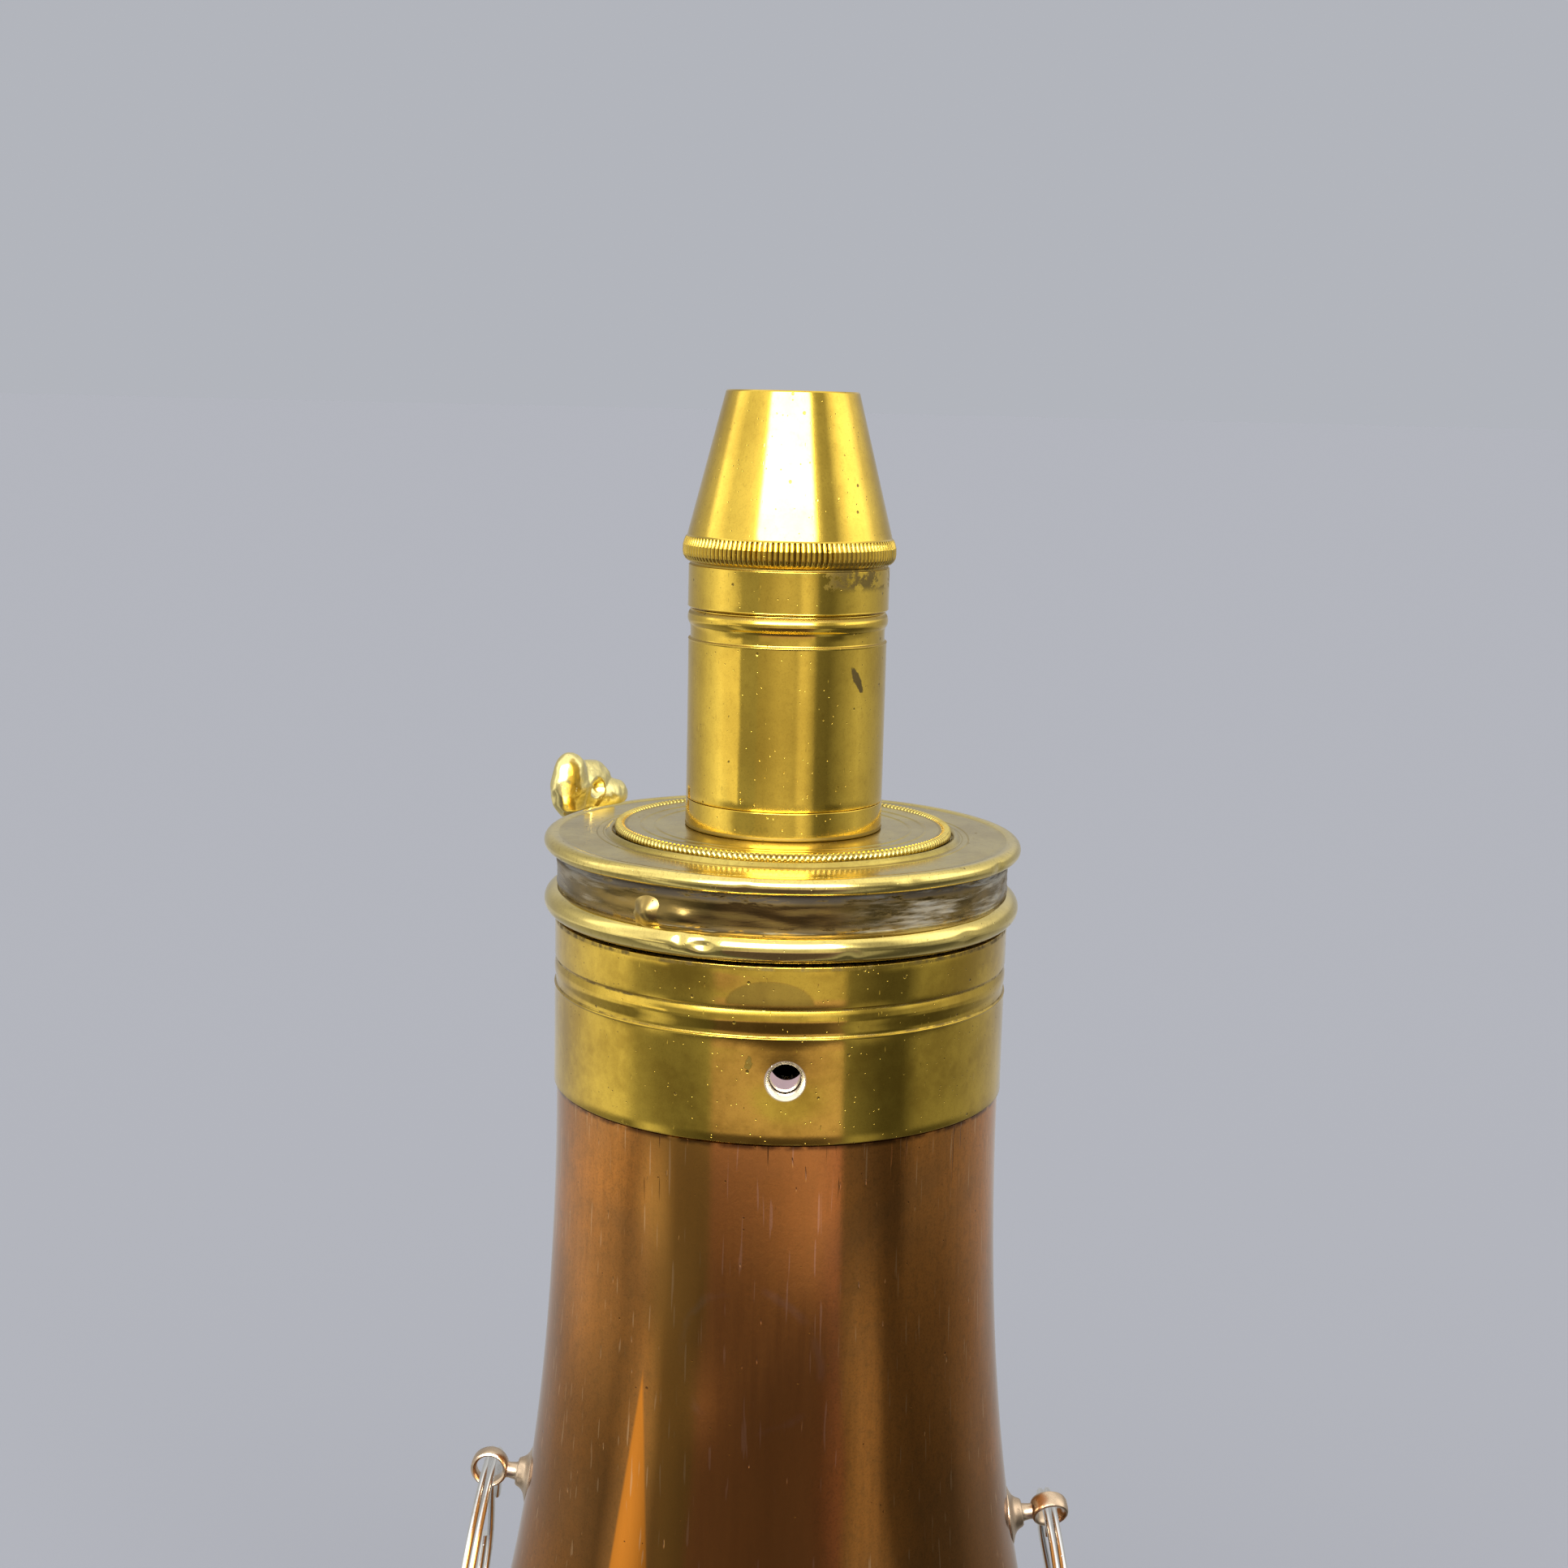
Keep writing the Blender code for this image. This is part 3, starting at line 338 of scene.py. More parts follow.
def barrel_grime(s):
    """Brown dirt under the milled bead on the right, one dark spot, and dirt in the grooves."""
    patch = s.ramp(s.noise(s.place, 0.62, 6.0, 0.72), 0.47, 0.54)
    right = s.band(s.angle, -1.25, -0.1, 0.2)
    under = s.times(s.band(s.level, 42.4, 44.4, 0.35), right, patch, 0.8)
    grooves = s.most(
        s.band(s.level, 37.72, 37.86, 0.05),
        s.band(s.level, 43.85, 44.05, 0.06),
        s.band(s.level, 39.85, 40.1, 0.05),
    )
    rise = s.minus(s.level, 35.1)
    lean = s.plus(s.times(s.plus(s.angle, 0.80), 8.3), s.times(rise, 0.55))
    spot = s.plus(s.times(lean, lean, 4.0), s.times(rise, rise, 0.75))
    spot = s.plus(spot, s.times(s.noise(s.place, 1.9, 3.0), 1.3))
    spot = s.times(s.fall(spot, 1.25, 1.6), 0.88)
    foot = s.times(s.band(s.level, 22.0, 22.35, 0.08), 0.7)
    gap = s.times(s.fall(from_step(s, KNURLS, 0.5), 0.08, 0.24), s.band(s.level, 44.5, 46.05, 0.1))
    gap = s.times(gap, s.ramp(s.noise(s.place, 0.5, 2.0), 0.25, 0.6, 0.45, 0.85))
    return s.most(gap, under, s.times(grooves, 0.6), spot, foot)


def waist_material():
    """Dull brown brass with dried white polish and black dirt in its corners."""
    s = Surface("waist_patina")
    streak = s.noise(s.lathe_place(2.0, 0.5), 1.0, 6.0, 0.65)
    cloud = s.noise(s.place, 0.22, 4.0, 0.6)
    base = s.mix(s.ramp(cloud, 0.35, 0.7), (0.25, 0.165, 0.045), (0.15, 0.105, 0.035))
    right = s.ramp(s.x, 3.0, 12.0)
    left = s.fall(s.x, -17.0, -11.0)
    corners = s.most(s.band(s.level, 16.0, 17.15, 0.3), s.band(s.level, 19.2, 20.3, 0.25))
    dirt = s.times(corners, s.ramp(streak, 0.38, 0.50))
    dirt = s.most(dirt, s.times(s.ramp(streak, 0.47, 0.62), right, 0.6))
    chalk = s.ramp(s.noise(s.lathe_place(1.5, 0.16), 1.0, 5.0, 0.6), 0.46, 0.66)
    low_corner = s.band(s.level, 16.0, 16.95, 0.2)
    residue = s.most(s.times(right, 0.55), s.times(left, 0.35), s.times(low_corner, 0.75))
    residue = s.times(residue, chalk, 0.75)
    base = s.mix(s.times(dirt, 0.9), base, BLACK_DIRT)
    base = s.mix(residue, base, CHALK)
    metallic = s.minus(1.0, s.most(s.times(dirt, 0.7), residue))
    roughness = s.plus(s.times(s.most(dirt, residue), 0.4), 0.24)
    height = s.plus(s.times(streak, 0.8), s.times(residue, 0.8))
    return s.close(base, roughness, height, 0.03 * MM, metallic)


def copper_reflections(s, base):
    """Painted reflections on the front: a paler sheen band in the middle, a dark strip and a bright red wedge
    beside it.
    """
    front = s.times(s.fall(s.y, -8.0, -4.0), s.ramp(s.z, 66.0, 92.0))
    drift = s.times(s.minus(s.noise(s.place, 0.07, 3.0), 0.5), 4.0)
    sheen_band = s.band(s.plus(s.x, drift), -9.5, 4.5, 1.6)
    beside = s.times(s.band(s.x, -15.0, -9.5, 1.2), s.fall(s.z, 118.0, 134.0))
    below = s.minus(118.4, s.z)
    wedge = s.ramp(s.plus(s.x, s.times(below, 0.15), 10.45), -0.12, 0.12)
    wedge = s.times(wedge, s.fall(s.minus(s.x, s.times(below, 0.035)), -10.35, -10.1))
    for mask, share, colour in (
        (sheen_band, 0.7, SHEEN_COPPER),
        (beside, 0.35, DARK_COPPER),
        (wedge, 0.9, RED_COPPER),
    ):
        base = s.mix(s.times(mask, front, share), base, colour)
    return base


def copper_ring(s):
    """A faint broken ring rubbed into the front under the collar."""
    path = s.plus(s.times(s.noise(s.place, 0.12, 4.0), 3.0), 4.2)
    ring = s.fall(s.math("ABSOLUTE", s.minus(s.from_point(-1.8, HEAD - 18.4), path)), 0.05, 0.5)
    return s.times(ring, s.ramp(s.noise(s.place, 0.33, 4.0), 0.42, 0.6), s.fall(s.y, -16.0, -14.0))


def copper_material():
    """Old polished copper sheet: browned, drawn with fine upright scratches and a few hairline cracks."""
    s = Surface("old_copper")
    cloud = s.noise(s.place, 0.055, 5.0, 0.62, 0.4)
    grain = s.noise(s.stretched(1.6, 1.6, 0.10), 1.0, 5.0, 0.65)
    fine = s.noise(s.stretched(6.0, 6.0, 0.25), 1.0, 3.0, 0.6)
    mottle = s.noise(s.stretched(1.9, 1.9, 1.1), 1.0, 5.0, 0.7, 0.5)
    grit = s.noise(s.place, 5.5, 3.0, 0.7)
    base = s.mix(s.ramp(cloud, 0.36, 0.66), COPPER, BROWN_COPPER)
    base = s.mix(s.ramp(s.z, 60.0, 136.0, 0.75, 0.0), base, LOW_COPPER)
    base = s.mix(s.times(s.ramp(grain, 0.42, 0.72), 0.35), base, shade(COPPER, 0.62))
    base = s.mix(s.times(s.ramp(mottle, 0.45, 0.68), 0.36), base, (0.28, 0.133, 0.035))
    base = s.mix(s.times(s.ramp(grit, 0.48, 0.68), 0.35), base, (0.204, 0.096, 0.027))
    # painted reflections on the front of the body: paler middle band, dark strip and bright red wedge
    base = copper_reflections(s, base)
    lines = s.most(
        s.scratches((0.05, 0.05, 0.4), 0.55, 22.0, 0.045, 0.40),
        s.scratches((0.9, 0.3, 0.8), 0.30, 26.0, 0.03, 0.25),
        s.scratches((0.3, 1.25, 0.1), 0.33, 24.0, 0.03, 0.22),
    )
    nicks = s.most(
        s.scratches((0.25, 0.15, 0.2), 1.3, 7.0, 0.10, 0.30),
        s.scratches((1.1, 0.3, 0.4), 1.1, 9.0, 0.08, 0.22),
        s.scratches((-0.9, 0.4, 0.1), 1.5, 5.0, 0.09, 0.18),
    )
    base = s.mix(s.times(s.most(lines, nicks), 0.5), base, (0.84, 0.50, 0.24))
    hair = s.ramp(s.noise(s.stretched(3.4, 3.4, 0.16), 1.0, 1.0), 0.68, 0.73)
    base = s.mix(s.times(hair, 0.4), base, (0.84, 0.52, 0.26))
    cracks = s.ramp(s.noise(s.stretched(2.4, 2.4, 0.11), 1.0), 0.66, 0.70)
    cracks = s.times(cracks, s.ramp(s.level, -7.0, -1.5), s.fall(s.y, -12.0, -10.0))
    rim = s.times(s.ramp(s.level, -0.62, -0.2), s.ramp(s.noise(s.place, 0.8, 4.0), 0.25, 0.55))
    spots = s.times(s.most(s.pits(0.42, 0.07, 0.18), s.pits(1.3, 0.11, 0.12)), 0.7)
    base = s.mix(s.most(s.times(cracks, 0.8), s.times(rim, 0.8), spots), base, PITTED_COPPER)
    base = s.mix(s.times(copper_ring(s), 0.2), base, (0.62, 0.40, 0.24))
    base = s.mix(s.times(s.fall(s.from_hole(), 1.6, 2.0), 0.85), base, (0.80, 0.72, 0.64))
    roughness = s.plus(s.times(grain, 0.09), s.times(cloud, 0.07), 0.02, s.times(lines, 0.12))
    height = s.plus(s.times(grain, 0.06), s.times(fine, 0.015), s.times(mottle, 0.08))
    height = s.minus(height, s.times(s.most(lines, nicks, cracks, spots), 0.5))
    return s.close(base, roughness, height, 0.02 * MM)


def steel(name, colour=PLATED_STEEL, rough=0.16):
    """Plated or plain steel, bright with fine wear and a little brown staining."""
    s = Surface(name)
    wear = s.noise(s.place, 3.2, 3.0, 0.6)
    stain = s.times(s.ramp(s.noise(s.place, 0.5, 4.0, 0.6), 0.52, 0.70), 0.35)
    spots = s.pits(1.8, 0.15, 0.10)
    base = s.mix(stain, colour, (0.30, 0.21, 0.13))
    base = s.mix(s.times(spots, 0.7), base, (0.05, 0.04, 0.035))
    roughness = s.plus(s.times(stain, 0.25), s.times(wear, 0.12), rough - 0.05)
    return s.close(base, roughness, s.minus(s.times(wear, 0.2), spots), 0.015 * MM)


# ---------------------------------------------------------------- mesh helpers


def polar(radius, azimuth, z=0.0):
    angle = math.radians(azimuth)
    return Vector((radius * math.cos(angle), radius * math.sin(angle), z))


def arc(r, z, radius, start, end, count):
    """Points (r, z) along an arc, angles in degrees from +r towards +z."""
    angles = [math.radians(start + (end - start) * i / (count - 1)) for i in range(count)]
    return [(r + radius * math.cos(a), z + radius * math.sin(a)) for a in angles]


def moved(points, dr=0.0, dz=0.0):
    return [(r + dr, z + dz) for r, z in points]


def extent(node):
    """A node's outer radius, and its bottom and top over the head's zero level."""
    low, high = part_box(node)
    return high.x / MM, low.z / MM - HEAD, high.z / MM - HEAD


def fillet(points, radius, closed=True, count=3):
    """Rounds the corners of a profile, less where its edges are short."""
    made = []
    total = len(points)
    for i in range(total):
        here = Vector(points[i])
        if not closed and i in (0, total - 1):
            made.append(tuple(here))
            continue
        before = Vector(points[i - 1]) - here
        after = Vector(points[(i + 1) % total]) - here
        reach = min(radius, before.length * 0.4, after.length * 0.4)
        bend = before.angle(after, math.pi)
        if bend > math.radians(168) or reach < 0.01:
            made.append(tuple(here))
            continue
        start = here + before.normalized() * reach
        end = here + after.normalized() * reach
        for k in range(count + 1):
            t = k / count
            made.append(tuple(start.lerp(here, t).lerp(here.lerp(end, t), t)))
    return made


def split(points, longest, closed=True):
    """Adds points so that no step of a profile is longer than longest."""
    made = []
    for i in range(len(points) if closed else len(points) - 1):
        start, end = Vector(points[i]), Vector(points[(i + 1) % len(points)])
        parts = max(1, math.ceil((end - start).length / longest))
        made += [tuple(start.lerp(end, k / parts)) for k in range(parts)]
    if not closed:
        made.append(tuple(points[-1]))
    return made


def linked(name, data):
    made = bpy.data.objects.new(name, data)
    bpy.context.scene.collection.objects.link(made)
    return made


def new_object(name, shape, material, sharp=35.0):
    """A bmesh drawn in millimetres becomes an object in metres, smooth apart from its sharp edges."""
    bmesh.ops.recalc_face_normals(shape, faces=shape.faces)
    bmesh.ops.scale(shape, vec=(MM, MM, MM), verts=shape.verts)
    mesh = bpy.data.meshes.new(name)
    shape.to_mesh(mesh)
    shape.free()
    mesh.materials.append(material)
    mesh.shade_smooth()
    mesh.set_sharp_from_angle(angle=math.radians(sharp))
    return linked(name, mesh)


def bridge(shape, row, other, closed=True):
    """Faces between two rows of vertices."""
    for i in range(len(row) - (not closed)):
        j = (i + 1) % len(row)
        shape.faces.new((row[i], other[i], other[j], row[j]))


def turned(name, profile, material, steps, shift=None, closed=True, base=HEAD, sharp=35.0):
    """A profile of (r, z) turned about Z. shift(angle, r, z) may move each point to another (r, z)."""
    shape = bmesh.new()
    rows = []
    for r, z in profile:
        row = []
        for i in range(steps):
            angle = 2 * math.pi * i / steps
            away, up = shift(angle, r, z) if shift else (r, z)
            row.append(shape.verts.new((away * math.cos(angle), away * math.sin(angle), base + up)))
        rows.append(row)
    pairs = list(zip(rows, rows[1:])) + ([(rows[-1], rows[0])] if closed else [])
    for high, low in pairs:
        bridge(shape, high, low)
    if not closed:
        bmesh.ops.remove_doubles(shape, verts=rows[0] + rows[-1], dist=1e-6)
    return new_object(name, shape, material, sharp)


def place(made, centre, direction):
    """Moves a piece drawn about Z to centre, in millimetres, with +Z along direction."""
    turn = Vector(direction).to_track_quat("Z", "Y").to_matrix().to_4x4()
    made.data.transform(Matrix.Translation(Vector(centre) * MM) @ turn)
    return made


def bake(piece):
    graph = bpy.context.evaluated_depsgraph_get()
    graph.update()
    mesh = bpy.data.meshes.new_from_object(piece.evaluated_get(graph))
    piece.modifiers.clear()
    piece.data = mesh


def combine(piece, operation, *others):
    """Joins other shapes to a piece, or cuts them out of it, and removes them."""
    for other in others:
        step = piece.modifiers.new("combine", "BOOLEAN")
        step.operation = operation
        step.solver = "EXACT"
        step.object = other
    bake(piece)
    for other in others:
        bpy.data.objects.remove(other, do_unlink=True)


def cut(piece, *cutters):
    combine(piece, "DIFFERENCE", *cutters)
    piece.data.set_sharp_from_angle(angle=math.radians(35))


def posed(shape, size, turn, centre):
    """Stretches a shape, turns it about Z and moves it, in that order."""
    bmesh.ops.scale(shape, vec=size, verts=shape.verts)
    bmesh.ops.rotate(shape, matrix=Matrix.Rotation(turn, 3, "Z"), verts=shape.verts)
    bmesh.ops.translate(shape, vec=centre, verts=shape.verts)
    return shape


def block(size, centre, turn=0.0):
    shape = bmesh.new()
    bmesh.ops.create_cube(shape, size=1.0)
    return new_object("block", posed(shape, size, turn, centre), None)


def dress(piece, body, slot, *nodes):
    """Hangs a new piece under its body and hides the CAD nodes that it stands for. slot, its finish, is not
    used.
    """
    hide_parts(*nodes)
    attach(piece, body)
    return piece


def dent(angle, level, azimuth, height, wide, tall, depth):
    """How far a soft dent pushes in at an angle and level; wide is in degrees, tall in millimetres."""
    off = (math.degrees(angle) - azimuth + 180) % 360 - 180
    return depth * math.exp(-((off / wide) ** 2) - ((level - height) / tall) ** 2)


def uneven(angle, z, amount, seed):
    """Slow hand-made unevenness of a turned or spun surface."""
    spot = Vector((math.cos(angle) * 1.3, math.sin(angle) * 1.3, z * 0.06 + seed))
    return amount * noise.noise(spot)


# ---------------------------------------------------------------- the head


def drill(azimuth, z, radius, mouth, start, depth):
    """A cutter for a round hole with a flared mouth. start is the surface's radius."""
    profile = [(0.0, 3.0), (radius + mouth + 3.0, 3.0), (radius + mouth, 0.05), (radius, -mouth)]
    profile += [(radius, -depth), (0.0, -depth)]
    made = turned("drill", profile, None, 40, closed=False, base=0.0)
    return place(made, polar(start, azimuth, z), polar(1, azimuth))


def make_collar(material):
    radius, bottom, top = extent("collar")
    wall = 0.8
    edge = top + 0.24
    outside = [(-0.05, edge), (0.0, edge - 0.06), (0.0, 11.0), (-0.10, 10.90), (-0.11, 10.76), (-0.03, 10.5)]
    outside += [(0.02, 10.2), (0.02, 9.8), (-0.03, 9.45), (-0.08, 9.2), (-0.09, 8.74), (-0.05, 8.64)]
    outside += [(0.05, 8.58), (0.06, 8.50), (0.01, 8.42), (0.0, bottom + 0.05), (-0.06, bottom)]
    profile = moved([(-wall, edge)] + outside + [(-wall, bottom)], radius)

    def shift(angle, r, z):
        bent = uneven(angle, z, 0.07, 3.0) if r > radius - 0.7 else 0.0
        bent -= dent(angle, z, 253, 11.9, 9, 2.2, 0.10) + dent(angle, z, 300, 4.0, 16, 5.0, 0.07)
        bent -= dent(angle, z, EMPTY_HOLE, SCREW_LEVEL, 7, 2.2, 0.12)
        sag = 0.10 * noise.noise(polar(2.0, math.degrees(angle), 8.0)) if z < 0.3 else 0.0
        return r + bent, z + max(sag, 0.0)

    collar = turned("collar_brass", split(fillet(profile, 0.05), 0.9), material, 240, shift)
    holes = [drill(EMPTY_HOLE, HEAD + SCREW_LEVEL, 1.28, 0.28, radius - 0.13, 3.0)]
    holes += [drill(azimuth, HEAD + SCREW_LEVEL, 1.3, 0.1, radius, 3.0) for azimuth in dict(SCREWS)]
    cut(collar, *holes)
    dress(collar, "flask", "aged_brass", "collar")


def make_collar_screws(material):
    """Two domed screws with a slot across the head."""
    seat_radius = extent("collar")[0] + 0.05
    radius, height, shank, reach = 2.2, 0.9, 1.1, 3.4
    turns = (0, 0.3, 0.6, 0.9, 1.2, 1.45)
    profile = [(radius * math.sin(a), height * (0.35 + 0.65 * math.cos(a))) for a in turns]
    profile += [(radius, height * 0.25), (radius - 0.05, 0.0), (shank, 0.0), (shank, -reach), (0.0, -reach)]
    for number, (azimuth, node) in enumerate(SCREWS):
        made = turned(node + "_slotted", profile, material, 40, closed=False, base=0.0)
        cut(made, block((radius * 3, radius * 0.26, height), (0, 0, height * 1.02), 0.5 + number))
        place(made, polar(seat_radius, azimuth, HEAD + SCREW_LEVEL), polar(1, azimuth))
        dress(made, "flask", "aged_brass", node)


def make_lower_plate(material):
    radius, bottom, top = extent("lower_plate")
    bead, throat = 1.15, 3.6
    rim = radius - bead
    profile = [(throat, top), (rim - 1.1, top), (rim - 0.55, top + 0.02)]
    profile += arc(rim, (top + bottom) / 2 + 0.2, bead, 118, -88, 18)
    profile += [(rim - 0.4, bottom), (throat, bottom)]
    profile = split(fillet(profile, 0.15), 1.5)

    def shift(angle, r, z):
        if r < rim - 0.6:
            return r, z
        push = dent(angle, z, 252.5, 15.9, 2.6, 0.55, 0.34) + dent(angle, z, 247, 16.1, 1.3, 0.5, 0.15)
        push += dent(angle, z, 286, 15.0, 2.2, 0.6, 0.12) + dent(angle, z, 318, 15.7, 3.0, 0.6, 0.13)
        drop = 0.5 * dent(angle, z, 252.5, 16.4, 3.0, 0.6, 0.34)
        return r - push + uneven(angle, z, 0.09, 1.0), z - drop

    made = turned("lower_plate_rim", profile, material, 480, shift)
    dress(made, "flask", "aged_brass", "lower_plate")


def slot_wedge(low, high):
    """The sector that the lever's arm sweeps through the waist."""
    shape = bmesh.new()
    count = 24
    azimuths = [ARM_AZIMUTH + 9 - 80 * i / (count - 1) for i in range(count)]
    rows = []
    for z in (low, high):
        inner = [shape.verts.new(polar(15, a, HEAD + z)) for a in azimuths]
        outer = [shape.verts.new(polar(21, a, HEAD + z)) for a in reversed(azimuths)]
        rows.append(inner + outer)
    bottom, top = rows
    for ring in rows:
        for i in range(count - 1):
            shape.faces.new((ring[i], ring[i + 1], ring[-2 - i], ring[-1 - i]))
    bridge(shape, top, bottom)
    return new_object("wedge", shape, None)


def make_waist(material):
    radius, bottom, top = extent("waist_ring")
    profile = moved([(-1.2, 0.24), (0.12, 0.24), (0.10, -0.1), (0.03, -0.6), (0.0, -1.1)], radius, top)
    profile += moved([(-0.02, 1.2), (-0.02, 0.75), (-0.06, 0.45), (-0.22, 0.18)], radius, bottom)
    profile += moved([(-0.75, 0.02), (-1.2, 0.0)], radius, bottom)

    def shift(angle, r, z):
        if r < radius - 0.6:
            return r, z
        bump = dent(angle, z, 244.5, 17.65, 4.2, 0.7, 0.42) + dent(angle, z, 238, 17.6, 6.0, 0.9, 0.2)
        fine = 0.08 * noise.noise(polar(7.0, math.degrees(angle), z * 1.6))
        return min(r + bump + uneven(angle, z * 4, 0.16, 5.0) + fine, radius + 0.35), z

    made = turned("waist_ring_patinated", split(profile, 0.3), material, 360, shift)
    cut(made, slot_wedge(17.6, 20.2))
    dress(made, "flask", "aged_brass", "waist_ring")


def domed_pin(name, azimuth, level, head, height, shank, reach, material, node):
    """A riveted pin whose low dome stands out of the waist."""
    shares = (0.0, 0.2, 0.4, 0.6, 0.75, 0.88, 1.0)
    dome = [(head * share, height * (0.5 + 0.5 * math.cos(math.pi * share))) for share in shares]
    profile = dome + [(head, -0.1), (shank, -0.1), (shank, -reach), (0.0, -reach)]
    made = turned(name, profile, material, 40, closed=False, base=0.0)
    place(made, polar(extent("waist_ring")[0] - 0.05, azimuth, HEAD + level), polar(1, azimuth))
    dress(made, "flask", "aged_brass", node)


def notch(angle, count, depth):
    """A knurled edge: narrow sharp grooves between wider lands, cut unevenly by hand."""
    turn = angle * count / (2 * math.pi)
    off = abs(turn - round(turn))
    cut_depth = 0.75 + 0.35 * noise.noise(Vector((round(turn) * 0.37, 1.7, 0.0)))
    return depth * cut_depth * max(0.0, 1 - off / 0.30)


def make_top_plate(material):
    radius, bottom = extent("top_plate")[:2]
    bead, hole, face = 0.7, 5.5, 21.3
    rim = radius - bead
    profile = moved([(hole, 0.0), (9.2, 0.0), (9.35, -0.06), (9.5, 0.0), (14.2, 0.0), (14.32, 0.12)], dz=face)
    profile += moved([(14.46, 0.30), (14.6, 0.35), (14.74, 0.30), (14.88, 0.12), (15.0, 0.0)], dz=face)
    profile += moved([(15.6, 0.0), (15.68, -0.07), (15.76, 0.0), (18.3, -0.02)], dz=face)
    profile += moved([(18.75, -0.06), (18.9, -0.02), (19.05, 0.05)], dz=face)
    profile += arc(rim, bottom + 0.67, bead, 103, -78, 18)
    profile += [(rim - 0.3, bottom), (hole, bottom)]

    def shift(angle, r, z):
        if r < 14.0:
            return r, z
        push = dent(angle, z, 262, 20.5, 1.6, 0.5, 0.08) + dent(angle, z, 300, 20.9, 2.4, 0.5, 0.10)
        push += dent(angle, z, 331, 20.6, 2.2, 0.5, 0.14)
        rise = 0.05 * noise.noise(polar(2.2, math.degrees(angle), 4.0))
        return r - (push if r > 18 else 0.0) + uneven(angle, z, 0.05, 2.0), z + rise

    made = turned("top_plate_rim", split(profile, 1.2), material, 480, shift)
    dress(made, "flask", "aged_brass", "top_plate")


def make_milled_disc(material):
    radius, bottom, top = extent("milled_disc")
    hole, edge, tooth = 5.5, 0.42, 0.2
    profile = moved([(hole, -0.16), (8.6, -0.16), (9.6, -0.30), (10.6, -0.30), (10.75, -0.22)], dz=top)
    profile += moved([(10.9, -0.30), (11.8, -0.26), (11.95, -0.18), (12.1, -0.26), (12.9, -0.20)], dz=top)
    profile += arc(radius - edge, top - 0.36, edge, 150, -30, 9)
    profile += [(radius, bottom), (hole, bottom)]
    profile = split(fillet(profile, 0.05), 1.2)

    def shift(angle, r, z):
        press = tooth * (0.5 + 0.5 * math.cos(angle * DISC_TEETH)) ** 2
        return (r, z - press) if r > radius - 0.82 and z > bottom + 0.05 else (r, z)

    made = turned("milled_disc_toothed", profile, material, DISC_TEETH * 6, shift)
    dress(made, "flask", "bright_brass", "milled_disc")


# ---------------------------------------------------------------- the nozzle


def make_nozzle_foot(material):
    radius = extent("nozzle_foot")[0]
    joint, under, bore, socket = 24.36, 22.03, 5.2, 6.9
    profile = [(6.3, 26.2), (socket, 26.2), (socket, joint)]
    profile += [(radius - 0.04, joint), (radius + 0.01, joint - 0.05)]
    profile += moved([(0.02, 0.30), (0.05, 0.12), (0.0, 0.0)], radius, under)
    profile += [(bore, under), (bore, 18.15), (4.4, 18.15), (4.4, 22.45)]
    made = turned("nozzle_foot_ring", fillet(profile, 0.03), material, 200)
    dress(made, "flask", "bright_brass", "nozzle_foot")


def make_nozzle_barrel(material):
    bore, radius = 7.2, 8.25
    bottom, top = extent("nozzle_barrel")[1:]
    profile = moved([(bore, 0.46), (8.12, 0.46), (8.14, 0.36)], dz=top)
    profile += arc(7.45, top - 0.30, 0.90, 48, -40, 9)
    profile += moved([(8.10, -1.1), (8.08, -1.88), (8.11, -1.98), (8.25, -2.03), (8.29, -2.10)], dz=top)
    profile += moved([(8.26, -2.18)], dz=top)
    profile += [(radius, bottom + 0.05), (radius - 0.04, bottom), (bore, bottom)]

    def shift(angle, r, z):
        if r < bore + 0.3:
            return r, z
        return r + uneven(angle, z, 0.035, 7.0) - dent(angle, z, 225, 31.5, 14, 2.5, 0.04), z

    made = turned("nozzle_barrel_turned", split(fillet(profile, 0.03), 0.8), material, 240, shift)
    cut(made, drill(90, HEAD + 37.6, 0.55, 0.05, radius, 2))
    dress(made, "flask", "bright_brass", "nozzle_barrel")


def make_nozzle_cone(material):
    raised, skirt, bead_z, bore = 0.35, 8.4, 45.25, 7.25
    bottom, top = (level + raised for level in extent("nozzle_cone")[1:])
    profile = [(4.82, top - 0.1), (4.95, top), (5.38, top), (5.5, top - 0.12), (skirt + 0.1, 46.32)]
    profile += [(skirt + 0.2, 46.2), (8.74, 45.9), (8.85, 45.5), (8.87, 45.0), (8.82, 44.65), (8.66, 44.36)]
    profile += [(8.46, 44.18), (8.26, 44.10), (8.22, 43.98), (8.26, 43.90), (skirt - 0.05, 43.84)]
    profile += moved([(-0.04, 0.08), (-0.02, 0.02), (-0.14, -0.1)], skirt, bottom)
    profile += [(bore, bottom), (bore, 47.3), (6.2, 47.4)]

    def shift(angle, r, z):
        inside = max(0.0, 1 - ((z - bead_z) / 0.95) ** 2)
        press = notch(angle, KNURLS, 0.36) * inside ** 0.35 if r > 8.3 else 0.0
        bent = uneven(angle, z, 0.03, 9.0) if z > 46 or r > 8 else 0.0
        return r - press + bent, z

    profile = split(fillet(profile, 0.03), 0.5)
    made = turned("nozzle_cone_milled", profile, material, KNURLS * 8, shift, sharp=50.0)
    dress(made, "charge_cone", "bright_brass", "nozzle_cone")


def make_measuring_tube(material):
    bottom, top = extent("measuring_tube")[1:]
    inner, outer = 6.2, 6.9
    profile = [(inner, top), (outer, top), (outer, bottom), (inner, bottom)]
    made = turned("measuring_tube_drawn", split(fillet(profile, 0.15), 1.5), material, 160)
    cut(made, block((1.8, 5.0, 10.6), (0, 6.5, HEAD + 33.1)))
    dress(made, "charge_tube", "bright_brass", "measuring_tube")


# ---------------------------------------------------------------- cut-off


